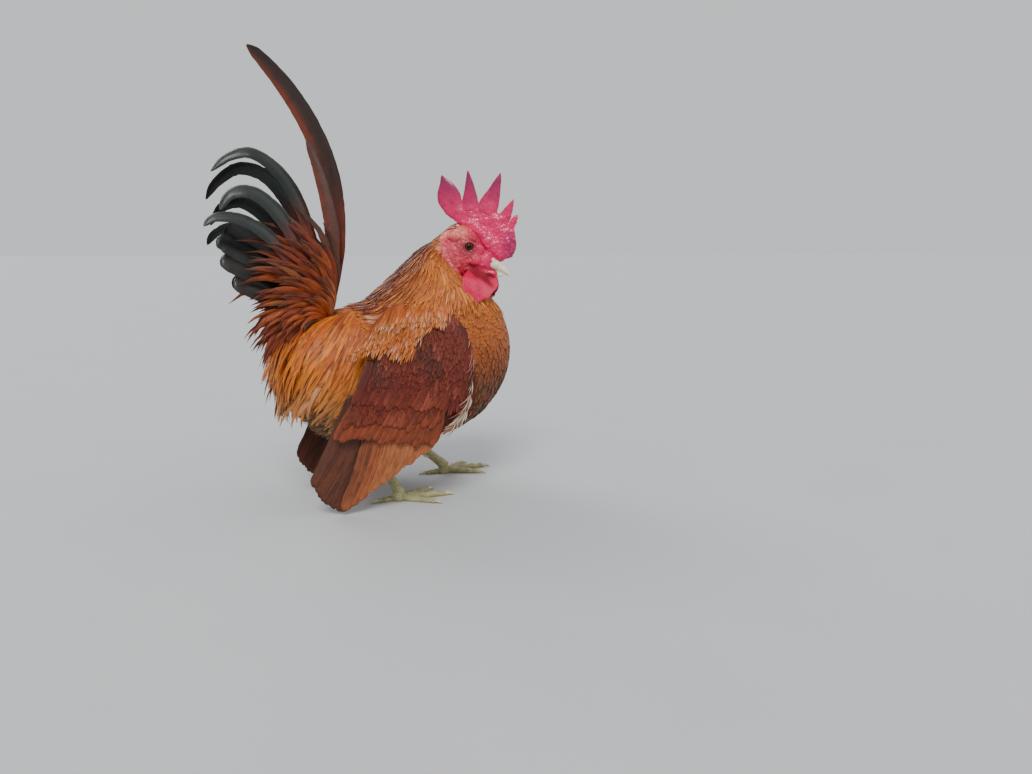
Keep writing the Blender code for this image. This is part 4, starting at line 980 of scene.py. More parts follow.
def face_dyes(spots, comb, wattle, lobe, eye_at, grain):
    """The head's colours: a rosy face, dusky round the eye and peach behind it, a bright comb with dark
    points, painted shade on its front and painted highlight on its pebbles, and wattles with painted
    crimson shade in the fold under the jaw."""
    x, _, z = spots.T
    soft = waves(spots, 7, 15)
    colour = blend(ROSE, DUSKY_ROSE, smooth_step(13 - eye_at + 2 * soft, 0, 7) * 0.75)
    peach = smooth_step(z + 0.4 * x, 198, 205) * smooth_step(17 - x + 3 * soft, 0, 7)
    peach = np.maximum(peach, smooth_step(-1 - x + soft, 0, 3) * smooth_step(z, 186, 192))
    colour = blend(colour, PEACH, peach * (0.6 + 0.3 * soft))
    veins = waves(stirred(spots, 6, 2.4, 41) * (0.8, 1, 1.4), 3.8, 25)
    colour = blend(colour, ROSE * 0.8, smooth_step(veins, 0.2, 0.9) * 0.5)
    colour = blend(colour, COMB_BRIGHT, smooth_step(x, 18, 27) * 0.8)
    colour = blend(colour, LOBE_PINK, lobe * (0.08 + 0.3 * smooth_step(waves(spots, 3.4, 19), 0.0, 0.9)))
    colour = blend(colour, DUSKY_ROSE * 0.55, smooth_step(5.4 - eye_at, 0, 1.4) * 0.8)
    red = blend(COMB_BRIGHT, COMB_DARK, smooth_step(z + 3 * soft, 214, 246) * 0.85)
    # Painted shade: the comb's front is darkened as its shaded side.
    red = blend(red, COMB_DARK, smooth_step(x, 37, 48) * smooth_step(210 - z, 0, 14) * 0.85)
    # Painted highlight: the tops of the comb's pebbles are lightened.
    red = blend(red, COMB_BRIGHT * 1.25, smooth_step(grain, 0.35, 0.9) * 0.5)
    colour = blend(colour, red, comb)
    lobe_red = blend(WATTLE_RED, COMB_DARK, smooth_step(soft, 0.3, 1.1) * 0.4)
    # Painted shade: crimson in the fold where the wattle leaves the jaw.
    return blend(blend(colour, lobe_red, wattle), CRIMSON_FOLD_SHADE, jaw_fold(spots) * 0.95)


def body_tubes():
    """The trunk and neck drawn in by the coat's depth, the thighs and the wings' arms."""
    place, angle = grid(0, NECK_TO, 120, 0, 2 * np.pi * 47 / 48, 48)
    sunk = -SKIN_DEPTH + (SKIN_DEPTH - NECK_SKIN_DEPTH) * smooth_step(place, 8.5, 11)
    tubes = [trunk(place, angle, sunk)]
    for side in (RIGHT, LEFT):
        place, angle = grid(0, 1, 16, 0, 2 * np.pi * 23 / 24, 24)
        tubes.append(thigh(place, angle, side, -1.5))
        place, around = grid(0, len(WING_RIBS) - 1, 30, 0, 31 / 32, 32)
        arm = wing_arm(place, around, side)
        tubes.append(arm - (0, side * 1.2, 0))
    return tubes


def make_skin(neck, finish):
    """One skin for all the flesh: the trunk, neck, thighs and wing arms, and the finer head."""
    tubes = body_tubes()
    points, faces, colours, count = [], [], [], 0
    for kind, tube in zip(("trunk", "thigh", "wing") * 2, tubes):
        rows, sides = tube.shape[:2]
        inside = tube.mean(axis=1, keepdims=True)
        around = np.cross(tube[:, 1] - tube[:, 0], tube[:, 0] - inside[:, 0])
        ahead = np.gradient(inside[:, 0], axis=0)
        if np.median((around * ahead).sum(-1)) > 0:
            tube = tube[:, ::-1]
        spots = tube.reshape(-1, 3)
        points.append(spots)
        # The skin under the coat takes the feathers' colours, which its material darkens as painted shade.
        if kind == "wing":
            colours.append(wing_dyes("bow", spots[:, ::2], np.full(len(spots), 0.3))[0])
        else:
            colours.append(body_dyes(spots, np.full(len(spots), 0.3))[0])
        faces += tube_faces(rows, sides, count)
        count += rows * sides
    head, quads, kinds, fold, head_colours = head_flesh(neck)
    points.append(head)
    colours.append(head_colours)
    faces.append(quads + count)
    skin = add_piece("skin", np.concatenate(points), faces, finish)
    give(skin, "flesh", np.concatenate([np.zeros((count, 3)), kinds]))
    give(skin, "dye", np.concatenate(colours))
    bare = np.stack([np.ones(len(head)), fold, 0 * fold], -1)
    give(skin, "bare", np.concatenate([np.zeros((count, 3)), bare]))
    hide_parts("torso", "neck", "head", "comb", "drumstick_right", "drumstick_left", "wattle_right",
                "wattle_left", "ear_lobe_right", "ear_lobe_left")
    return skin


def make_eyes(finish):
    """Round eyes; each point's angle from the gaze gives pupil, iris and rim."""
    for side in (RIGHT, LEFT):
        out = unit(to_side(EYE_FACING, side))
        across, up = across_and_up(out)
        lat, lon = grid(0.01, np.pi - 0.01, 40, 0, 2 * np.pi * 47 / 48, 48)
        radius = EYE_RADIUS * (1 + 0.05 * np.exp(-((lat / 0.5) ** 2)))
        shape = out * np.cos(lat)[..., None] + across * (np.sin(lat) * np.cos(lon))[..., None]
        shape = shape + up * (np.sin(lat) * np.sin(lon))[..., None]
        ball_points = from_head(to_side(EYE, side) + shape * (radius - 0.15)[..., None])
        name = f"eye_ball_{SIDE_NAMES[side]}"
        eye = add_tubes(name, [ball_points], finish)
        gaze = np.stack([lat.ravel(), np.cos(lon).ravel(), np.sin(lon).ravel()], -1)
        if eye.data.vertices[0].co != Vector(placed(ball_points.reshape(-1, 3))[0]):
            gaze = gaze.reshape(*lat.shape, 3)[:, ::-1].reshape(-1, 3)
        give(eye, "gaze", gaze)
        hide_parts(f"eye_{SIDE_NAMES[side]}")


def make_beak(finish):
    """The two halves of the beak, smooth and finely stepped, the nostrils pressed into the upper."""
    for name, rows in (("upper", UPPER_BEAK_RIBS), ("lower", LOWER_BEAK_RIBS)):
        place, angle = grid(0, len(rows) - 1, 60, 0, 2 * np.pi * 39 / 40, 40)
        points = ribbed(rows, place, angle)
        if name == "upper":
            for side in (RIGHT, LEFT):
                off = (points - to_side(NOSTRIL, side) - (0.6, side * 1.0, 0)) / (2.1, 2.2, 1.1)
                dent = np.exp(-((off**2).sum(-1)) ** 1.5)
                points[..., 1] -= side * 1.3 * dent
        points[..., 1] += 0.04 * np.sin(place * 23)
        beak = add_tubes(f"beak_{name}_shell", [from_head(points)], finish)
        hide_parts(f"beak_{name}")


# Legs.


def limb(points, radii, sides=28, flat=False, scute=0.0, count=8.0):
    """A limb along a path: round rings whose front is stepped like overlapping scutes; flat presses the
    underside on the floor."""
    points = np.asarray(points, float)
    radii = np.asarray(radii, float)
    rows = len(points)
    along = unit(np.gradient(points, axis=0))
    across = unit(np.cross(along, (0, 0, 1)) + np.array([0, 1e-3, 0]))
    up = np.cross(across, along)
    angle = np.linspace(0, 2 * np.pi, sides, endpoint=False) + np.pi / sides
    step = 1 - (np.linspace(0, count, rows) % 1)
    front = smooth_step(np.sin(angle), -0.2, 0.5)
    swell = 1 + scute * step[:, None] * front[None]
    ring = across[:, None] * np.cos(angle)[None, :, None] + up[:, None] * np.sin(angle)[None, :, None]
    ring = points[:, None] + ring * (radii[:, None] * swell)[..., None]
    if flat:
        ring[..., 2] = np.maximum(ring[..., 2], 0)
    return ring


def make_legs(scaled, horn):
    """On each side a shank from the hock down, the pad under it, and round the pad the toes, whose claws
    and spur are a piece of their own."""
    for side in (RIGHT, LEFT):
        name = SIDE_NAMES[side]
        hock, foot = np.array(HOCKS[side], float), np.array(FEET[side], float)
        down = unit(foot - hock)
        share = np.linspace(0, 1, 90)
        start = hock - down * 5
        path = start + (foot + down * 2 - start) * share[:, None]
        radii = SHANK_RADIUS * table(SHANK_SWELLS, share)
        tubes = [limb(path, radii, scute=0.055, count=11)]
        centre = np.array([foot[0], foot[1], 0.0])
        height = np.linspace(0, PAD_HEIGHT, 16)
        pad = table(PAD_RADII, height)
        angle = np.linspace(0, 2 * np.pi, 28, endpoint=False)
        ring = np.stack([np.cos(angle), np.sin(angle), 0 * angle], -1)
        tubes.append(centre + ring[None] * pad[:, None, None] + np.array([0.0, 0, 1]) * height[:, None, None])
        claws = []
        for length, spread, radius in TOES:
            aim = FOOT_TURN[side] + np.radians(spread) * side
            ahead = np.array([np.cos(aim), np.sin(aim), 0])
            share = np.linspace(0, 1, 72)
            thick = radius * table(TOE_SWELLS, share)
            path = centre + ahead * (TOE_ROOT + length * share)[:, None]
            path[:, 2] = thick * 0.8
            tubes.append(limb(path, thick, 22, True, 0.09, 5 + length / 2.6))
            reach = np.linspace(-0.25, 1, 26)
            tip = centre + ahead * (TOE_ROOT + length * 0.96)
            claw = tip + ahead * (CLAW_LENGTH * reach)[:, None]
            claw[:, 2] = np.maximum(radius * (0.66 + 0.25 * reach - 0.95 * np.maximum(reach, 0) ** 2.2), 0.3)
            claws.append(limb(claw, radius * table(CLAW_SWELLS, reach), 14, True))
        root = hock + (foot - hock) * 0.6
        aim = unit(np.array([-1, -0.45 * side, -0.1]))
        reach = np.linspace(0, 1, 20)
        spur = root + aim * (1.5 + SPUR_LENGTH * reach)[:, None] + np.array([0, 0, 1.6]) * (reach**2)[:, None]
        claws.append(limb(spur, table(SPUR_RADII, reach), 14))
        leg = add_tubes(f"leg_{name}", tubes, scaled)
        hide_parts(f"shank_{name}", f"foot_{name}")
        add_tubes(f"claws_{name}", claws, horn)


# Coats of feathers.

# Places of the rings of points along a short and a long feather, as shares of its length.
FINE_SHARES = np.array([0, 0.16, 0.36, 0.58, 0.78, 0.92, 1])
LONG_SHARES = np.array([0, 0.1, 0.24, 0.4, 0.58, 0.76, 0.9, 1])

# Hackle layers from the deepest: name, spacing of the feathers, length, width, height of the tips, seed.
HACKLE_LAYERS = (("hackle_under", 2.25, 34, 3.6, 1.6, 1), ("hackle_over", 2.18, 34, 2.7, 2.9, 2))
# Body layers: name, lowest and highest place along the trunk, spacing, length, width, height, seed.
BODY_LAYERS = (
    ("breast_coat", 6.5, 10.2, 2.55, 15, 6.0, 1.7, 21),
    ("belly_coat", 3.9, 6.5, 2.7, 16, 6.6, 2.0, 23),
    ("rump_coat", 0.2, 4.4, 3.4, 18, 6.4, 1.2, 22),
)
# One small step up the trunk, in places.
WALK_STEP = 0.08


def walk_up(place, angle, distance):
    """The place reached after a distance up the trunk's surface, by small steps, up to the neck's top."""
    place, left = np.array(place, float), np.array(distance, float)
    for _ in range(130):
        move = (left > 0) & (place < NECK_TO - WALK_STEP)
        ahead = np.where(move, place + WALK_STEP, place)
        left = left - np.linalg.norm(trunk(ahead, angle) - trunk(place, angle), axis=-1)
        place = ahead
    return place


def walk_span(tip, root, angle):
    """Length along the trunk's surface between two places, summed over small steps."""
    places = tip[:, None] + (root - tip)[:, None] * np.linspace(0, 1, 24)
    points = trunk(places, np.broadcast_to(angle[:, None], places.shape))
    return np.linalg.norm(np.diff(points, axis=1), axis=-1).sum(1)


def trunk_feathers(tip, angle, length, width, outline, rise, seed, arms, sway):
    """Feathers that lie down the trunk, from the places of their tips: each rises from its root to its
    tip's height and swings aside as its neighbours do. Where arms are given, they are lifted over them."""
    chance = np.random.default_rng(seed)
    shares, sink = FINE_SHARES, 0.8
    root = walk_up(tip, angle, length)
    span = walk_span(tip, root, angle)
    places = root[:, None] + (tip - root)[:, None] * shares
    spots = trunk(tip, angle)
    aside = sway * (waves(spots, 15, seed) + 0.45 * chance.normal(0, 1, len(tip)))
    wide = np.maximum(spline(TRUNK_RIBS, tip)[:, 4], 10)
    angles = angle[:, None] + (aside / wide)[:, None] * shares**2
    lift = rise * (0.5 + 0.7 * chance.random(len(tip))) * np.minimum(span / 14, 1)
    heights = -sink + (lift[:, None] + sink) * shares**0.8
    paths = trunk(places, angles, heights)
    outs = trunk(places, angles, heights + 1) - paths
    if arms is not None:
        above, facing = arms.near(paths.reshape(-1, 3))
        above, facing = above.reshape(places.shape), facing.reshape(*places.shape, 3)
        short = np.maximum(heights * 0.85 - above, 0) * smooth_step(shares, 0.1, 0.4)
        paths = paths + facing * short[..., None]
        outs = outs + facing * np.minimum(short, 1)[..., None]
    halves = table(outline, shares)[None] * (width * (0.8 + 0.4 * chance.random(len(tip))))[:, None] / 2
    halves = halves * (1 - 0.18 * chance.random(halves.shape) * (shares > 0.4))
    halves = halves * np.clip(span / 9, 0.1, 1)[:, None]
    return Feathers(paths, unit(outs), halves, trunk_unwrap(root, angle), seed)


def off_back(angle):
    """How far round an angle is from the back's middle line, 0 to pi."""
    return abs((angle + np.pi) % (2 * np.pi) - np.pi)


def hackle_dyes(tip, angle, chance):
    """Gold, redder along the nape and under the throat; the tips pale, most of all at the hem."""
    around = off_back(angle)
    spots = trunk(tip, angle)
    body = blend(GOLD, NAPE, 1 - smooth_step(around, 0.35, 1.1))
    body = blend(body, DEEP_ORANGE, smooth_step(around, 1.5, 2.5) * 0.8)
    body = blend(body, NAPE, smooth_step(waves(spots, 12, 7), 0.1, 0.9) * 0.5)
    body = blend(body, PALE_GOLD, smooth_step(chance, 0.75, 1) * 0.7)
    hem = table(HACKLE_HEM, np.degrees(around))
    at_hem = 1 - smooth_step(tip - hem, 0.1, 1.3)
    ends = blend(body * 1.25, PALE_GOLD, (0.35 + 0.3 * chance) * smooth_step(around, 0.3, 1.0))
    rosy = blend(ends, ROSY_CREAM, smooth_step(chance, 0.5, 0.9) * (1 - smooth_step(around, 0.9, 1.7)))
    return body, blend(ends, rosy, at_hem)


def make_hackle(form, finish):
    """The neck's long pointed feathers; the lowest tips follow the hem over back, shoulders and breast."""
    for name, spacing, length, width, rise, seed in HACKLE_LAYERS:
        tip, angle = on_trunk(3.4, NECK_TO, spacing, seed)
        spots = trunk(tip, angle)
        hem = table(HACKLE_HEM, np.degrees(off_back(angle))) + 0.22 * waves(spots, 9, seed + 30)
        tip, angle = tip[tip > hem], angle[tip > hem]
        chance = np.random.default_rng(seed + 5).random(len(tip))
        long = length * table(((3.9, 1.0), (9, 1.0), (11, 0.8), (13, 0.5)), tip) * (0.85 + 0.3 * chance)
        feathers = trunk_feathers(tip, angle, long, width, LANCE, rise, seed, form, 2.6)
        piece = feathers.add(name, finish, "feather_orange", *hackle_dyes(tip, angle, feathers.chance))
        if name == "hackle_under":
            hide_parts("neck")


def body_dyes(spots, chance):
    """Orange-brown high on the breast, dull brown low and behind, gold on the back, in soft patches."""
    x, _, z = spots.T
    body = blend(BROWN, DEEP_ORANGE, smooth_step(z + 6 * waves(spots, 22, 3), 70, 135))
    body = blend(body, RUSSET, smooth_step(waves(spots, 10, 9), 0.0, 1.0) * 0.6)
    body = blend(body, BROWN, 0.5 * smooth_step(20 - x, 0, 50) * smooth_step(96 - z, 0, 16))
    body = blend(body, GOLD, smooth_step(z, 138, 146) * smooth_step(-x, 10, 40))
    body = blend(body, GOLD, smooth_step(z, 78, 100) * smooth_step(-x, 34, 56))
    body = blend(body, BROWN, 0.45 * smooth_step(chance, 0.6, 1))
    return body, blend(body, PALE_GOLD, 0.12 + 0.3 * smooth_step(z, 90, 150))


def make_body_coat(arms, finish):
    """Short rounded feathers over breast, sides, back and belly, except where a wing lies on them."""
    for name, low, high, spacing, length, width, rise, seed in BODY_LAYERS:
        tip, angle = on_trunk(low, high, spacing, seed)
        spots = trunk(tip, angle, -2.5)
        hidden = np.minimum(arms[RIGHT].near(spots)[0], arms[LEFT].near(spots)[0])
        over = (abs(spots[:, 1]) > 30) & (spots[:, 2] > 62) & (spots[:, 0] < 16) & (spots[:, 0] > -40)
        keep = ~((hidden < 1.0) & over)
        tip, angle, spots = tip[keep], angle[keep], spots[keep]
        chance = np.random.default_rng(seed + 5).random(len(tip))
        long = length * (0.85 + 0.3 * chance) * table(((0, 1.1), (7, 1.0), (10, 0.75)), tip)
        feathers = trunk_feathers(tip, angle, long, width, ROUNDED, rise, seed, None, 1.6)
        chance = np.random.default_rng(seed + 6).random(len(tip))
        feathers.add(name, finish, "feather_brown", *body_dyes(spots, chance))


def down_dyes(spots, chance):
    """Grey-brown down, tan towards the rear."""
    body = blend(ASH_BROWN, TAN, smooth_step(-spots[:, 0], 30, 90) * 0.7)
    body = blend(body, BROWN, 0.6 * smooth_step(waves(spots, 14, 6), -0.2, 0.8))
    return body, blend(body, TAN, 0.3 + 0.5 * chance)


def make_fluff(form, finish):
    """Thin downy strands on the belly, the rump's underside and the thighs."""
    place, angle = on_trunk(1.2, 4.6, 2.2, 31)
    low = (off_back(angle) > np.radians(80)) & (trunk(place, angle)[:, 2] < 72)
    place, angle = place[low], angle[low]
    roots, ways = trunk(place, angle, -2), lie_of_trunk(place, angle)
    down = coat(form, roots, ways, trunk_unwrap(place, angle), 31, length=15, width=1.7, shape=STRAND, rise=3.6,
                count=4, cling=0.2, droop=0.35, sway=16, sink=1)
    down.add("belly_fluff", finish, "feather_brown", *down_dyes(roots, down.chance))
    for side in (RIGHT, LEFT):
        chance = np.random.default_rng(33)
        share, turn = chance.random(9000) ** 0.8, 2 * np.pi * chance.random(9000)
        roots = thigh(share * 0.93, turn, side, -1)
        kept = thinned(roots, 2.6, 34)
        roots, share, turn = roots[kept], share[kept], turn[kept]
        keep = form.near(roots)[0] > -2
        roots, share, turn = roots[keep], share[keep], turn[keep]
        way = unit(np.array(HOCKS[side], float) - DRUMSTICK_TOPS[side]) + (-0.25, 0, -0.1)
        ways = np.broadcast_to(unit(way), roots.shape)
        spot = np.stack([0.75 + 0.1 * turn / 6.29 + (0.12 if side == LEFT else 0), 0.02 + 0.2 * share], -1)
        feathers = coat(thigh_form(side), roots, ways, spot, 35, length=11, width=3.4, shape=LANCE, rise=2.0,
                        count=5, cling=0.6, droop=0.15, sway=9, sink=1)
        body = blend(BROWN, RUSSET, feathers.chance)
        piece = feathers.add(f"thigh_coat_{SIDE_NAMES[side]}", finish, "feather_brown", body, body * 1.3)
        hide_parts(f"drumstick_{SIDE_NAMES[side]}")


# Saddle tiers: place along the trunk, first and last angle from the back, length, width, count, how far
# the feathers aim round the body and how far they just hang, and the height that their tips stand off.
SADDLE_TIERS = (
    (5.2, 0, 66, 46, 3.8, 52, 1.0, 0, 2.0), (4.6, 1, 78, 52, 3.8, 60, 0.95, 0, 2.4),
    (4.3, 64, 98, 40, 3.6, 26, 1.2, 0, 2.0), (3.9, 1, 86, 58, 3.8, 62, 0.85, 0, 2.8),
    (3.6, 70, 100, 46, 3.6, 26, 1.1, 0, 2.8), (3.3, 84, 112, 40, 3.6, 26, 0.8, 0, 2.4),
    (3.2, 2, 92, 60, 3.9, 62, 0.75, 0.05, 3.2), (2.8, 78, 108, 46, 3.6, 28, 1.0, 0, 3.2),
    (2.5, 3, 96, 58, 4.0, 60, 0.6, 0.2, 3.6), (2.4, 96, 126, 38, 3.6, 26, 0.6, 0, 2.8),
    (1.8, 5, 104, 52, 4.2, 60, 0.4, 0.42, 3.8), (1.8, 88, 116, 46, 3.6, 26, 0.7, 0, 3.6),
    (1.2, 5, 108, 46, 4.4, 58, 0.2, 0.62, 3.8), (0.8, 96, 130, 38, 4.0, 30, 0.3, 0.5, 3.4),
    (0.6, 4, 124, 42, 4.6, 60, 0.08, 0.85, 3.6), (0.25, 4, 150, 38, 4.6, 60, 0.0, 0.95, 3.0),
)
SADDLE_HANG = np.array([-0.45, 0.0, -0.9])
SADDLE_DROOP = 0.34


def saddle_dyes(ends, chance):
    """Golden orange down the sides, rust under the tail, red-brown at the very rear and tan low down."""
    body = blend(GOLD, BRIGHT_GOLD, smooth_step(waves(ends, 20, 12), -0.4, 0.8))
    body = blend(body, RUST, smooth_step(waves(ends, 11, 14), 0.15, 0.9) * 0.65)
    body = blend(body, RUST, smooth_step(-ends[:, 0], 96, 118) * smooth_step(ends[:, 2], 92, 112) * 0.9)
    body = blend(body, TAN, smooth_step(86 - ends[:, 2], 0, 26) * 0.7)
    body = blend(body, ROSY_CREAM, smooth_step(chance, 0.9, 1) * 0.3)
    return body, blend(body * 1.15, PALE_GOLD, 0.35 + 0.5 * smooth_step(chance, 0.3, 0.9))


def make_saddle(form, finish):
    """Long pointed feathers that pour from the back over the rump's sides and past its end."""
    rows = []
    for side in (RIGHT, LEFT):
        for tier, (place, first, last, length, width, count, aside, hang, rise) in enumerate(SADDLE_TIERS):
            chance = np.random.default_rng(40 + tier + (20 if side == LEFT else 0))
            share = (np.arange(count) + chance.random(count)) / count
            angle = side * np.radians(first + (last - first) * share)
            spots = np.maximum(place + 0.7 * (chance.random(count) - 0.5), 0.2)
            start = trunk(spots, angle)
            rear = lie_of_trunk(spots, angle)
            round_ = unit(trunk(spots, angle + side * 0.1) - start)
            ways = rear * (1 - hang) + round_ * (aside * (0.8 + 0.4 * chance.random(count)))[:, None]
            ways = unit(ways + SADDLE_HANG * hang)
            sizes = [np.full(count, float(size)) for size in (length, width, rise, 0.4 * (1 - hang))]
            rows.append((start, ways, trunk_unwrap(spots, angle), *sizes))
    start, ways, unwrap, length, width, rise, cling = (np.concatenate(part) for part in zip(*rows))
    chance = np.random.default_rng(48)
    total = len(start)
    length = length * (0.8 + 0.35 * chance.random(total))
    _, outs = form.near(start)
    ways = swung(ways, outs, 0.14 * waves(start, 13, 5) + 0.06 * chance.normal(0, 1, total))
    lift = rise * (0.45 + 0.6 * chance.random(total))
    rises = [-1.0 + (lift + 1.0) * share**0.7 for share in LONG_SHARES]
    paths, outs = lay(form, start, ways, length, LONG_SHARES, rises, cling, SADDLE_DROOP)
    halves = table(LANCE, LONG_SHARES)[None] * (width * (0.9 + 0.45 * chance.random(total)))[:, None] / 2
    halves = halves * (1 - 0.16 * chance.random(halves.shape) * (LONG_SHARES > 0.4))
    on_arm = (paths[..., 0] > table(WING_REAR, paths[..., 2]) + 3) & (abs(paths[..., 1]) > 42)
    feathers = Feathers(paths, outs, halves, unwrap, 49)
    feathers.keep(on_arm.mean(1) < 0.4)
    dyes = saddle_dyes(feathers.paths[:, -1], feathers.chance)
    piece = feathers.add("saddle_feathers", finish, "feather_orange", *dyes)
    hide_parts("saddle")


def wing_unwrap(x, z, side):
    """The wing's unwrap fills the upper right of the map, one wing over the other."""
    v = (z + 5) / 165 * 0.36 + (0.25 if side == RIGHT else 0.62)
    return np.stack([0.75 + 0.23 * (x + 100) / 140, v], -1)


# Wing tiers in side view: name, outline, first root, last root, first tip, last tip, count, width,
# height of root and of tip over the arm's outer face, and the roll that lifts one edge over the next.
WING_TIERS = (
    ("primaries", QUILL, (-44, 84), (-64, 88), (-74, 2.5), (-97, 10), 9, 12.5, -6.4, -5.7, 11),
    ("secondaries", QUILL, (-4, 70), (-48, 84), (-12, 45), (-73, 3.5), 13, 11.5, -3.2, -2.6, 8),
    ("greater_coverts", ROUNDED, (1, 84), (-58, 92), (-8, 50), (-78, 57), 17, 9, -1.4, 0.7, 6),
    ("median_coverts", ROUNDED, (6, 96), (-55, 103), (-5, 60), (-72, 68), 20, 8, -0.8, 1.3, 6),
    ("lesser_coverts", ROUNDED, (10, 106), (-51, 113), (-1, 74), (-65, 82), 22, 7.5, -0.6, 1.7, 6),
)
FEATHER_BOW = 0.05
# How far the hindmost primary's tip is drawn forwards and up, which rounds the wing's end.
PRIMARY_STAGGER = np.array([4.0, 12.0])
CAPE_FEATHERS, FRINGE_PLUMES = 1100, 170
# The highest roots on the wing in side view, under the hackle's hem: x, and height there.
BOW_TOP = ((-60, 142), (-45, 134), (-26, 130), (-15, 126), (-8, 140), (4, 156), (12, 170))
# The arm's upper edge in side view: x, and height there.
WING_CREST = ((-60, 120), (-45, 134), (-38, 142), (-28, 149), (-14, 152), (6, 154), (20, 148))
# The wing's front edge in side view, from the shoulder down.
WING_FRONT = ((27, 140), (29.5, 124), (30, 108), (27, 88), (18, 71), (7, 60))


def wing_dyes(kind, spots, chance):
    """Flight feathers from wheat at the front to near black behind; coverts mahogany with dusky patches."""
    x, z = spots[:, 0], spots[:, 1]
    if kind == "primaries":
        body = blend(DARK_BROWN, BLACK_BROWN, 0.1 + 0.35 * chance)
        return body, blend(body, DARK_BROWN, 0.5)
    if kind == "secondaries":
        body = blend(WHEAT, RUSSET, 0.2 + 0.35 * chance + 0.5 * smooth_step(-x, 52, 74))
        body = blend(body, DARK_BROWN, 0.7 * smooth_step(-x, 60, 74))
        return body, blend(body, WHEAT, 0.3)
    body = blend(MAHOGANY, DARK_MAHOGANY, 0.7 * smooth_step(waves(spots, 24, 4), 0.0, 0.9))
    body = blend(body, DUSKY_PINK, 0.55 * smooth_step(waves(spots, 19, 21), 0.3, 1.0) * (0.6 + 0.4 * chance))
    body = blend(body, RUSSET, smooth_step(78 - z, 0, 26) * 0.55 + 0.12 * chance)
    return body, blend(body, RUSSET, 0.1 + 0.2 * chance)


def on_wing(x, z, height, side):
    """Points over the wing's outer face, drawn in at its front edge."""
    return np.stack([x, side * (wing_out(x, z) + height - 0.06 * np.maximum(x - 20, 0) ** 2), z], -1)


def make_flight(kind, row, tier, side, finish):
    """One tier of wing feathers, from front to rear, each bowed back and tilted to overlap the next."""
    shape, root_a, root_b, tip_a, tip_b, count, width, low, high, roll = row
    chance = np.random.default_rng(60 + tier + (5 if side == LEFT else 0))
    share = np.linspace(0, 1, count)[:, None]
    root = np.array(root_a) + (np.array(root_b) - root_a) * share
    stray = 0.45 if tier < 2 else 1.9
    tip = np.array(tip_a) + (np.array(tip_b) - tip_a) * share + chance.normal(0, 1, (count, 2)) * (0.45, stray)
    if kind == "primaries":
        tip = tip + PRIMARY_STAGGER * share**2.5
    chord = tip - root
    rear = unit(np.stack([chord[:, 1], -chord[:, 0]], -1))
    t = np.linspace(0, 1, 26)
    bow = -np.linalg.norm(chord, axis=1)[:, None] * FEATHER_BOW * 4 * t * (1 - t)
    spots = root[:, None] + chord[:, None] * t[:, None] + rear[:, None] * bow[..., None]
    x, z = spots[..., 0], np.maximum(spots[..., 1], 1.4)
    paths = on_wing(x, z, low + (high - low) * t, side)
    lean = np.stack([rear[:, 0], 0 * rear[:, 0], rear[:, 1]], -1) * np.tan(np.radians(roll))
    outs = np.broadcast_to(unit(np.array([0.0, side, 0]) + lean)[:, None], paths.shape)
    frayed = 1 - 0.05 * chance.random((count, len(t))) - 0.08 * (chance.random((count, len(t))) > 0.9)
    halves = table(shape, t)[None] * width / 2 * frayed
    spot = np.stack([0.76 + 0.22 * (np.arange(count) + 0.5) / count, np.full(count, 0.03 + 0.19 * tier)], -1)
    feathers = Feathers(paths, outs, halves, spot, 70 + tier, 0.35, 0.06, 7)
    dyes = wing_dyes(kind, tip, feathers.chance)
    feathers.add(f"{kind}_{SIDE_NAMES[side]}", finish, "feather_red", *dyes, (0.2 / count, 0.16))


def wing_feathers(roots, heading, length, width, outline, lift, side, seed):
    """Small feathers on the wing's outer face, from roots in side view, each along its own heading."""
    chance = np.random.default_rng(seed)
    total = len(roots)
    heading = heading + 0.16 * waves(roots, 14, 33) + 0.08 * chance.normal(0, 1, total)
    length = length * (0.75 + 0.5 * chance.random(total))
    x = roots[:, :1] + (np.cos(heading) * length)[:, None] * FINE_SHARES
    z = roots[:, 1:] + (np.sin(heading) * length)[:, None] * FINE_SHARES
    height = lift * (0.6 + 0.8 * chance.random((total, 1)))
    paths = on_wing(x, z, -1.2 + (height + 1.2) * FINE_SHARES**0.8, side)
    outs = unit(on_wing(x, z, 6, side) - paths + (0, side * 8, 0))
    halves = table(outline, FINE_SHARES)[None] * (width * (0.7 + 0.5 * chance.random(total)))[:, None] / 2
    halves = halves * (1 - 0.25 * chance.random(halves.shape) * (FINE_SHARES > 0.4))
    return Feathers(paths, outs, halves, wing_unwrap(*roots.T, side), seed)


def make_bow(side, finish):
    """The soft small feathers that cover the wing's upper arm, flowing down and back."""
    chance = np.random.default_rng(80 + side)
    place, around = 6.2 * chance.random(40000), 0.01 + 0.49 * chance.random(40000)
    roots = wing_arm(place, around, side)
    roots = roots[thinned(roots, 2.1, 81 + side)][:, ::2]
    roots = roots[(roots[:, 1] > 84) & (roots[:, 1] < table(BOW_TOP, roots[:, 0]) + 5)]
    heading = np.radians(-112) + 0.5 * smooth_step(roots[:, 0], 8, 28)
    feathers = wing_feathers(roots, heading, 16, 4.2, SOFT, 1.3, side, 82 + side)
    dyes = wing_dyes("bow", roots, feathers.chance)
    piece = feathers.add(f"wing_bow_{SIDE_NAMES[side]}", finish, "feather_red", *dyes)
    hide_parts(f"wing_{SIDE_NAMES[side]}")


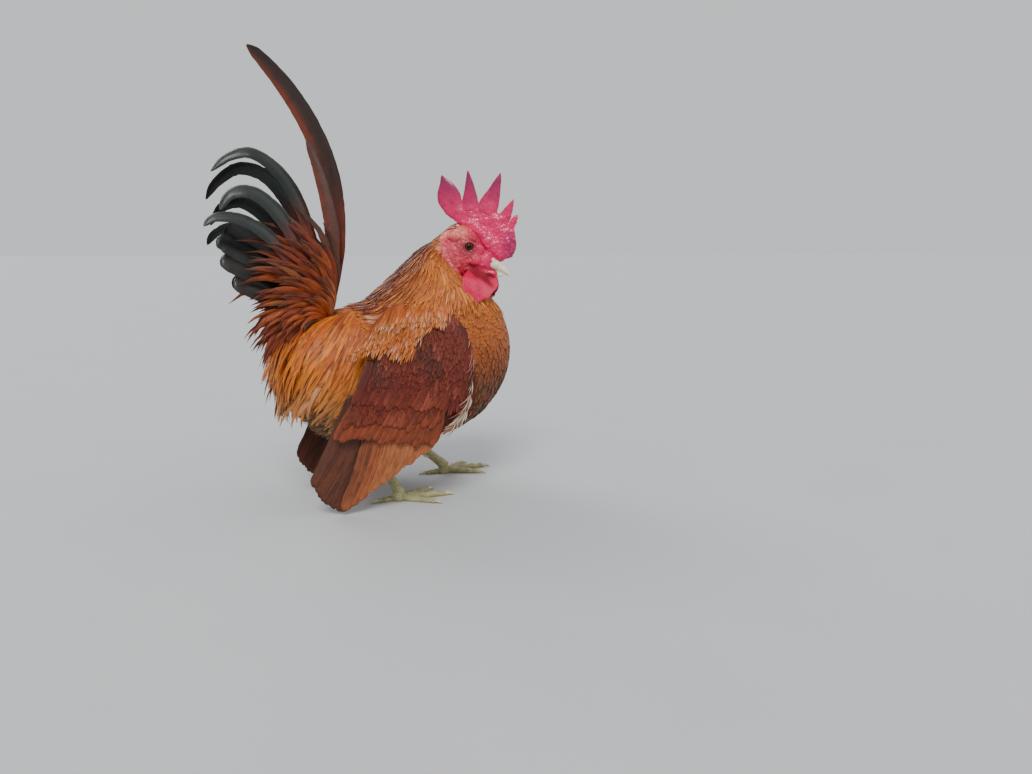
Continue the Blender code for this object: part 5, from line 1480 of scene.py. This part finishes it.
def make_cape(side, finish):
    """The hackle's lowest feathers, which hang over the wing's upper edge."""
    chance = np.random.default_rng(130 + side)
    x = -52 + 64 * chance.random(CAPE_FEATHERS)
    z = table(BOW_TOP, x) + 1 + 26 * chance.random(CAPE_FEATHERS) ** 1.3
    z = np.minimum(z, table(WING_CREST, x) + 2)
    heading = np.radians(-122) + 0.25 * smooth_step(x, -10, 10)
    feathers = wing_feathers(np.stack([x, z], -1), heading, 19, 3.2, LANCE, 3.0, side, 132 + side)
    body = blend(GOLD, NAPE, 0.5 * smooth_step(waves(feathers.roots, 12, 7), 0.1, 0.9))
    tip = blend(blend(body, PALE_GOLD, 0.4), ROSY_CREAM, 0.6 * smooth_step(feathers.chance, 0.5, 0.9))
    feathers.add(f"hackle_cape_{SIDE_NAMES[side]}", finish, "feather_orange", body, tip)


def make_fringe(side, finish):
    """Frayed cream plumes along the wing's front and lower edge."""
    chance = np.random.default_rng(110 + side)
    total = FRINGE_PLUMES
    place = (len(WING_FRONT) - 1) * (0.1 + 0.88 * chance.random(total))
    spot, ahead = spline(WING_FRONT, place), spline(WING_FRONT, place + 0.05)
    heading = np.arctan2(ahead[:, 1] - spot[:, 1], ahead[:, 0] - spot[:, 0])
    heading = heading + 0.22 * chance.normal(0, 1, total) + 0.2
    length = 9 + 9 * chance.random(total)
    curl = heading[:, None] - 0.5 * FINE_SHARES
    step = len(FINE_SHARES)
    x = spot[:, :1] + np.cumsum(np.cos(curl), axis=1) * length[:, None] / step + 1.5
    x = x - 3 * chance.random((total, 1))
    z = spot[:, 1:] + np.cumsum(np.sin(curl), axis=1) * length[:, None] / step
    lift = 2.6 - 5 * chance.random(total)[:, None] + 1.4 * FINE_SHARES
    paths = on_wing(x, z, lift, side)
    outs = np.broadcast_to(unit(np.array([0.35, side, 0])), paths.shape)
    halves = table(STRAND, FINE_SHARES)[None] * (0.6 + 0.6 * chance.random(total))[:, None] / 2
    feathers = Feathers(paths, outs, halves, wing_unwrap(spot[:, 0], spot[:, 1], side), 120, 0.2)
    body = blend(CREAM * 0.75, RUSSET, smooth_step(feathers.chance, 0.25, 0.75))
    feathers.add(f"wing_fringe_{SIDE_NAMES[side]}", finish, "feather_brown", body, blend(body, CREAM, 0.4))


def make_wings(finishes):
    """Each wing from its flight feathers up: the tiers, the bow over them, the cape and the fringe."""
    for side in (RIGHT, LEFT):
        for tier, (kind, *row) in enumerate(WING_TIERS):
            make_flight(kind, row, tier, side, finishes["flight" if tier < 2 else "covert"])
        make_bow(side, finishes["bow"])
        make_cape(side, finishes["hackle"])
        make_fringe(side, finishes["fluff"])


# Tail feathers in side view: side, outline, distance of root and tip from the middle plane, width,
# then the midrib from root to tip.
TAIL_SICKLES = (
    (LEFT, SICKLE, 3, 4, 17,
     ((-70, 146), (-63, 185), (-62, 218), (-67, 250), (-77, 278), (-92, 303), (-108, 322), (-118, 331))),
    (RIGHT, SICKLE, 4, 9, 14, ((-71, 146), (-66, 180), (-66, 205), (-70, 230), (-76, 252), (-82, 268))),
    (RIGHT, SICKLE, 6.5, 15, 12,
     ((-74, 146), (-80, 190), (-88, 220), (-101, 243), (-119, 256), (-135, 253), (-147, 243))),
    (LEFT, SICKLE, 6, 14, 12,
     ((-74, 146), (-82, 192), (-93, 222), (-108, 242), (-127, 248), (-143, 238), (-151, 226))),
    (RIGHT, SICKLE, 9, 20, 13, ((-76, 145), (-89, 186), (-103, 214), (-120, 229), (-135, 228), (-143, 217))),
    (LEFT, SICKLE, 9, 19, 12, ((-76, 145), (-91, 184), (-107, 210), (-125, 224), (-140, 221), (-149, 208))),
    (RIGHT, SICKLE, 11.5, 24, 11, ((-78, 144), (-95, 178), (-112, 200), (-130, 211), (-146, 212), (-154, 206))),
    (LEFT, SICKLE, 11.5, 23, 11, ((-78, 144), (-96, 176), (-114, 196), (-132, 206), (-146, 202), (-152, 194))),
)
TAIL_MAIN = (
    (RIGHT, QUILL, 2.5, 5, 17, ((-80, 143), (-100, 166), (-122, 184), (-146, 198))),
    (LEFT, QUILL, 2.5, 5, 17, ((-80, 143), (-99, 169), (-118, 190), (-139, 207))),
    (RIGHT, QUILL, 5, 10, 16, ((-81, 141), (-103, 160), (-124, 174), (-144, 184))),
    (LEFT, QUILL, 5, 10, 16, ((-81, 141), (-103, 160), (-124, 174), (-144, 184))),
    (RIGHT, QUILL, 7.5, 15, 15, ((-82, 139), (-103, 152), (-120, 161), (-137, 168))),
    (LEFT, QUILL, 7.5, 15, 15, ((-82, 139), (-103, 152), (-120, 161), (-137, 168))),
)
# Coverts of each side: first and last heading up from the rear, length, width, distance of root and tip
# from the middle plane, count.
TAIL_COVERTS = (
    (56, 104, 76, 6.5, 6, 15, 12), (40, 103, 64, 6, 8, 21, 16), (28, 102, 54, 5.5, 10, 25, 19),
    (16, 104, 42, 5, 11.5, 28, 22), (8, 106, 32, 4.6, 12.5, 28, 24), (4, 108, 22, 4.2, 13.5, 26, 24),
    (-24, 22, 54, 4.4, 8, 19, 22), (-16, 24, 48, 4.4, 3, 8, 14), (-34, 16, 40, 4.2, 11, 25, 24),
)
COVERT_BEND = np.radians(26)
# How much of a long tail feather's upper side is turned to the rear.
TAIL_TWIST = 0.65
# How much of each sickle's rear half is rust: only the tall two are.
RUSTY_EDGES = (0.75, 0.5, 0, 0, 0, 0, 0, 0)
# Where the face's bare skin ends and feathers begin, seen from the side: height, and x there.
FACE_REAR = ((164, 13), (170, 7), (176, 0), (184, -4), (196, -3.5), (204, 3), (212, 9))


def tail_piece(name, rows, finish, seed, dyes):
    """Each long tail feather follows its own midrib, arched across and turned a little to the rear."""
    t = np.linspace(0, 1, 56)
    chance = np.random.default_rng(seed)
    paths, halves, outs = [], [], []
    for side, shape, near, far, width, rib in rows:
        xz = spline(rib, t * (len(rib) - 1))
        paths.append(np.stack([xz[:, 0], side * (near + (far - near) * t), xz[:, 1]], -1))
        frayed = 1 - 0.04 * chance.random(len(t)) - 0.06 * (chance.random(len(t)) > 0.88)
        halves.append(table(shape, t) * width * 0.54 * frayed)
        along = unit(np.gradient(xz, axis=0))
        turn = along * TAIL_TWIST
        outs.append(np.stack([turn[:, 1], np.full(len(t), float(side)), -turn[:, 0]], -1))
    count = len(rows)
    unwrap = np.stack([(np.arange(count) + 0.5) / count, np.full(count, 0.5)], -1)
    feathers = Feathers(np.array(paths), unit(np.array(outs)), np.array(halves), unwrap, seed, 0.4, 0.26, 9)
    return feathers.add(name, finish, "feather_black", *dyes(feathers), (0.8 / count, 0.9))


def sickle_dyes(feathers):
    """The tall sickles brown-black with a red-brown rear edge, the side ones black with green and some
    steel-grey; all of them rust at the root."""
    body = blend(BLACK_GREEN, STEEL, 0.75 * smooth_step(feathers.chance, 0.6, 0.9))
    body[:2] = blend(BLACK_BROWN, DARK_BROWN, np.array([0.2, 0.6]))
    sides = np.array([row[0] for row in TAIL_SICKLES])
    rear = feathers.ring()[None] * sides[:, None]
    edge = smooth_step(rear, 0.1, 0.7)[:, None] * np.array(RUSTY_EDGES)[:, None, None]
    along = np.linspace(0, 1, feathers.paths.shape[1])[None, :, None]
    body = blend(body[:, None, None], RUST, np.maximum(edge, 0.9 * smooth_step(along, 0.42, 0.16)))
    return body, blend(body, BLACK_BROWN, np.full(body.shape[:3], 0.4))


def rectrix_dyes(feathers):
    """The straight tail feathers, black with green or brown."""
    body = blend(BLACK_GREEN, BLACK_BROWN, feathers.chance)
    return body, body * 0.8


def covert_dyes(heading, chance):
    """Rust and orange at the tail's base, some dusky beige, the hindmost darker."""
    body = blend(DEEP_ORANGE, RUST, smooth_step(chance, 0.2, 0.7))
    body = blend(body, WHEAT, smooth_step(chance, 0.78, 0.9) * 0.8)
    body = blend(body, BLACK_BROWN, smooth_step(chance, 0.92, 0.97) * 0.8)
    body = blend(body, NAPE, smooth_step(-heading, -0.35, 0.1) * 0.6)
    return body, blend(body, BLACK_BROWN, 0.25 + 0.5 * smooth_step(heading, 0.2, 1.2))


def make_tail(finishes):
    """The sickles, the straight feathers behind them, and the coverts that fan out from the tail's root."""
    sickles = tail_piece("tail_sickles", TAIL_SICKLES, finishes["sickle"], 90, sickle_dyes)
    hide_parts("tail")
    tail_piece("tail_main", TAIL_MAIN, finishes["sickle"], 91, rectrix_dyes)
    t = np.linspace(0, 1, 10)
    paths, halves, outs, unwrap, headings = [], [], [], [], []
    chance = np.random.default_rng(92)
    for first, last, length, width, near, far, count in TAIL_COVERTS:
        for side in (RIGHT, LEFT):
            for k in range(count):
                heading = np.radians(first + (last - first) * (k + 0.7 * chance.random()) / (count - 1))
                bent = heading - COVERT_BEND * t**2 * (0.6 + 0.8 * chance.random())
                reach = 2 + length * t * (0.8 + 0.3 * chance.random())
                path = TAIL_ROOT + np.stack([-np.cos(bent) * reach, 0 * t, np.sin(bent) * reach], -1)
                path[:, 1] = side * (near + (far - near) * t**0.8 * (0.7 + 0.4 * chance.random()))
                paths.append(path)
                halves.append(table(LANCE, t) * width / 2 * (0.75 + 0.4 * chance.random()))
                out = np.array([0.25 * chance.normal(), side, 0.25 * chance.normal()])
                outs.append(np.tile(out, (len(t), 1)))
                row = 0.05 + 0.15 * near / 13 + (0.02 if side == LEFT else 0)
                unwrap.append((0.75 + 0.23 * (heading / 2), row))
                headings.append(heading)
    outs = unit(np.array(outs))
    feathers = Feathers(np.array(paths), outs, np.array(halves), np.array(unwrap), 93, 0.3, 0.12, 5)
    dyes = covert_dyes(np.array(headings), feathers.chance)
    feathers.add("tail_coverts", finishes["saddle"], "feather_orange", *dyes)


def make_head_coat(form, finish):
    """Short close feathers behind the face, over the crown's back and round the throat."""
    chance = np.random.default_rng(95)
    place, angle = 7 * chance.random(CROWD), 2 * np.pi * chance.random(CROWD)
    roots = head_shape(place, angle, -0.4)
    kept = thinned(roots, 1.35, 96)
    place, angle, roots = place[kept], angle[kept], roots[kept]
    x, _, z = roots.T
    edge = table(FACE_REAR, z) + 1.8 * chance.random(len(x))
    behind = x < edge
    place, angle, roots, near_face = place[behind], angle[behind], roots[behind], (x - edge)[behind]
    back = head_shape(np.maximum(place - 0.2, 0), angle) - head_shape(place, angle)
    ways = unit(back + np.array([-0.3, 0, -0.5]))
    start = from_head(roots)
    ways = from_head(roots + ways) - start
    unwrap = trunk_unwrap(np.full(len(place), 12.9), angle)
    feathers = coat(form, start, unit(ways), unwrap, 97, length=7, width=1.9, shape=LANCE, rise=1.0,
                    count=5, cling=0.5, droop=0.05, sway=9, sink=0.4)
    body = blend(DEEP_ORANGE, NAPE, smooth_step(roots[:, 2], 194, 208))
    body = blend(body, PEACH, smooth_step(near_face, -5, -1.5) * smooth_step(roots[:, 2], 184, 192) * 0.85)
    tip = blend(body, PALE_GOLD, 0.3 + 0.4 * feathers.chance)
    feathers.add("head_coat", finish, "feather_orange", body, tip)


# Finishes.

# Distance between the fine lines on a vane.
BARB_SPACING = 0.55

def feather_finish(name, roughness, sheen, shaft=0.25, tip_from=0.6, streaks=0.4, gloss=0.0):
    """A vane in the feather's own dyes: silky streaks along it, its tip's colour, painted shade at its root,
    where the feather above lies over it, a light shaft and fine slanting barbs."""
    finish = Finish(name, roughness, Sheen_Weight=sheen, Sheen_Roughness=0.5, Specular_IOR_Level=0.3,
                    Coat_Weight=gloss, Coat_Roughness=0.3)
    along, across, chance = finish.parts(finish.attribute("lie"))
    far, wide, _ = finish.parts(finish.attribute("reach"))
    dye, tip = finish.attribute("dye"), finish.attribute("tip")
    side = abs(across)
    silk = finish.noise(finish.join(far * 0.06, wide * 1.1, chance * 60.0), 1.0, 3.0, 0.6)
    cloud = finish.noise(finish.join(far * 0.16, wide * 0.1, chance * 90.0), 1.0, 2.0)
    colour = finish.mix(dye, tip, along.rise(tip_from, 1.0))
    colour = finish.mix(colour, BLACK, silk.rise(0.4, 0.66) * streaks)
    colour = finish.mix(colour, tip, silk.rise(0.42, 0.26) * 0.45)
    # Random clouds darken the vane, and painted shade darkens its root, under the feather that overlaps it.
    colour = finish.mix(colour, BLACK, cloud.rise(0.45, 0.7) * 0.25 + along.rise(0.3, 0.0) * 0.3)
    colour = finish.mix(colour, tip, side.rise(0.04, 0.14, shaft, 0.0) * along.rise(1.0, 0.7))
    slant = (far - abs(wide) * 0.9) * (2 * np.pi / BARB_SPACING)
    lines = slant.sine() * 0.5 + 0.5
    colour = finish.mix(colour, BLACK, lines * side.rise(0.0, 0.5) * 0.16)
    finish.bump(lines * 0.5 + silk * 1.5 + side.rise(0.0, 0.12, 0.6, 0.0), 0.00012, 0.5)
    return finish.done(colour, silk.rise(0.3, 0.7, roughness - 0.08, roughness + 0.12))


def make_finishes():
    """The feathers' finishes: roughness and sheen, then what differs in shaft, tip, streaks or gloss."""
    return {
        "hackle": feather_finish("hackle_feather", 0.5, 0.07),
        "saddle": feather_finish("saddle_feather", 0.5, 0.04, streaks=0.45),
        "breast": feather_finish("body_feather", 0.6, 0.04, shaft=0.1, streaks=0.35),
        "fluff": feather_finish("down", 0.75, 0.3, shaft=0.0, streaks=0.2),
        "bow": feather_finish("wing_bow_feather", 0.5, 0.03, shaft=0.1),
        "covert": feather_finish("wing_covert", 0.5, 0.02, shaft=0.15, streaks=0.45),
        "flight": feather_finish("flight_feather", 0.5, 0.05, shaft=0.3, tip_from=0.8),
        "sickle": feather_finish("tail_feather", 0.34, 0.03, shaft=0.4, tip_from=0.7, gloss=0.25),
    }


def skin_finish():
    """Skin in its own dyes with fine pebbled grain, painted shade in the hollows between the pebbles and a
    painted highlight on their tops, glossy on the comb; under the coat dull, its dyes darkened as painted shade
    between the feathers.
    """
    finish = Finish("flesh", 0.4, Subsurface_Weight=0.1, Subsurface_Scale=0.0012, Specular_IOR_Level=0.4)
    comb, wattle, lobe = finish.parts(finish.attribute("flesh"))
    bare, fold, _ = finish.parts(finish.attribute("bare"))
    place = finish.place()
    dye = finish.attribute("dye")
    grain = finish.cells(place, 1100.0)
    blotch = finish.noise(place, 320.0, 4.0)
    # Random blotches darken the skin, and painted shade darkens the hollows between the pebbles.
    colour = finish.mix(dye, BLACK, blotch.rise(0.5, 0.75) * 0.25 + grain.rise(0.3, 0.8) * 0.15)
    # Painted highlight: pale specks on the pebbles' tops, most of all on the lobes.
    colour = finish.mix(colour, tint(255, 200, 190), grain.rise(0.2, 0.05) * (lobe * 0.2 + 0.03))
    # Painted shade: under the coat the dyes are darkened, for the shade between the feathers.
    colour = finish.mix(finish.mix(dye, BLACK, 0.55), colour, bare)
    finish.bump(grain.rise(0.0, 0.6, 1.0, 0.0) * 0.6 + blotch * 0.8, 0.00018, 0.55)
    finish.put(finish.shader.inputs["Coat Weight"], comb.higher(wattle * 0.5) * (1 - fold) * 0.3)
    gloss = blotch.rise(0.35, 0.7, 0.28, 0.42)
    return finish.done(colour, gloss + (1 - bare) * 0.4 + fold * 0.4)


def eye_finish():
    """A black pupil in a dark brown iris, with a thin darker rim, under a clear wet coat."""
    finish = Finish("eye", 0.08, Coat_Weight=0.1, Coat_Roughness=0.02, Specular_IOR_Level=0.16)
    away, cos, sin = finish.parts(finish.attribute("gaze"))
    spokes = finish.noise(finish.attribute("gaze"), 14.0, 3.0)
    iris = finish.mix(tint(96, 36, 14), tint(48, 16, 10), spokes.rise(0.35, 0.7))
    colour = finish.mix(tint(4, 3, 3), iris, away.rise(0.42, 0.5))
    colour = finish.mix(colour, tint(18, 6, 6), away.rise(0.72, 0.85))
    return finish.done(colour)


def horn_finish(name, light, dark):
    """Horn: cloudy patches between a light and a dark tone, and a finer noise in its bumps."""
    finish = Finish(name, 0.32, Subsurface_Weight=0.1, Subsurface_Scale=0.001, Coat_Weight=0.2)
    place = finish.place()
    cloud = finish.noise(place, 260.0, 4.0, distortion=0.6)
    fine = finish.noise(place, 1400.0, 2.0)
    colour = finish.mix(light, dark, cloud.rise(0.45, 0.72) * 0.8)
    finish.bump(cloud + fine * 0.4, 0.0002, 0.5)
    return finish.done(colour, cloud.rise(0.3, 0.7, 0.26, 0.45))


def leg_finish():
    """Pale olive scaled skin: small plates with darker seams and a dusty wear."""
    finish = Finish("scaled_leg", 0.5, Specular_IOR_Level=0.4)
    place = finish.place()
    seams = finish.cells(place, 620.0, feature="DISTANCE_TO_EDGE")
    dust = finish.noise(place, 220.0, 4.0)
    colour = finish.mix(tint(158, 152, 108), tint(186, 176, 130), dust.rise(0.4, 0.65))
    colour = finish.mix(colour, tint(96, 90, 60), seams.rise(0.1, 0.0) * 0.7)
    finish.bump(seams.rise(0.0, 0.2), 0.0003, 0.8)
    return finish.done(colour, dust.rise(0.3, 0.7, 0.42, 0.62))


def floor_finish():
    """A matt pale grey, faintly clouded."""
    finish = Finish("studio_floor", 0.8)
    grain = finish.noise(finish.place(), 9.0, 4.0)
    return finish.done(finish.mix(*FLOOR_TONES, grain.rise(0.3, 0.7)))


# Studio.


FLOOR_HALF = 30.0
FLOOR_TONES = ((0.439, 0.447, 0.455), (0.451, 0.459, 0.467))
SKY_COLOUR, SKY_STRENGTH = (0.93, 0.95, 0.97, 1), 0.78
# Far soft lamps: name, where they shine from, how wide they look in degrees, and strength.
LAMPS = (
    ("key", (-0.45, -1.0, 1.25), 24, 2.5),
    ("fill", (1.0, -0.3, 0.6), 60, 0.5),
    ("rim", (-0.5, 1.0, 0.9), 30, 1.1),
)
# The camera: its place in the bird's frame, the level way it looks, how far it is tipped down, and the
# focal length as a share of the picture's width.
CAMERA_PLACE = np.array([-158.6, -597.1, 190.0])
CAMERA_WAY = (0.3746, 0.9272)
CAMERA_PITCH = np.radians(10)
CAMERA_FOCUS = 775 / 1032
SENSOR_WIDTH = 36


def make_studio():
    """A wide pale floor, a soft sky and three far lamps."""
    mesh = bpy.data.meshes.new("floor")
    corners = [(x * FLOOR_HALF, y * FLOOR_HALF, 0) for x, y in ((-1, -1), (1, -1), (1, 1), (-1, 1))]
    mesh.from_pydata(corners, [], [(0, 1, 2, 3)])
    mesh.materials.append(floor_finish())
    linked("floor", mesh)
    world = bpy.data.worlds.new("studio")
    world.use_nodes = True
    sky = world.node_tree.nodes["Background"]
    sky.inputs["Color"].default_value, sky.inputs["Strength"].default_value = SKY_COLOUR, SKY_STRENGTH
    bpy.context.scene.world = world
    for name, place, wide, strength in LAMPS:
        lamp = bpy.data.lights.new(name, "SUN")
        lamp.angle, lamp.energy = np.radians(wide), strength
        made = linked(name, lamp)
        made.location = place
        made.rotation_mode = "QUATERNION"
        made.rotation_quaternion = (-Vector(place)).to_track_quat("-Z", "Y")


def make_camera():
    """Stands where the photograph was taken: level with the tail's middle, tipped down ten degrees."""
    data = bpy.data.cameras.new("camera")
    data.sensor_width, data.lens = SENSOR_WIDTH, CAMERA_FOCUS * SENSOR_WIDTH
    data.clip_start, data.clip_end = 0.01, 50
    camera = linked("camera", data)
    camera.location = placed(CAMERA_PLACE)
    level = np.cos(CAMERA_PITCH)
    ahead = Vector((CAMERA_WAY[0] * level, CAMERA_WAY[1] * level, -np.sin(CAMERA_PITCH)))
    camera.rotation_mode = "QUATERNION"
    camera.rotation_quaternion = ahead.to_track_quat("-Z", "Y")
    bpy.context.scene.camera = camera


make_studio()
make_camera()
trunk_shape = trunk_form()
arm_forms = {side: wing_form(side) for side in (RIGHT, LEFT)}
body_form = trunk_shape.with_others(arm_forms[RIGHT], arm_forms[LEFT])
finishes = make_finishes()
make_skin(trunk_shape, skin_finish())
make_eyes(eye_finish())
make_beak(horn_finish("beak", tint(232, 222, 200), tint(196, 176, 144)))
make_legs(leg_finish(), horn_finish("claw", tint(190, 176, 140), tint(140, 120, 90)))
make_hackle(body_form, finishes["hackle"])
make_body_coat(arm_forms, finishes["breast"])
make_fluff(trunk_shape, finishes["fluff"])
make_saddle(body_form, finishes["saddle"])
make_wings(finishes)
make_tail(finishes)
make_head_coat(trunk_shape, finishes["hackle"])
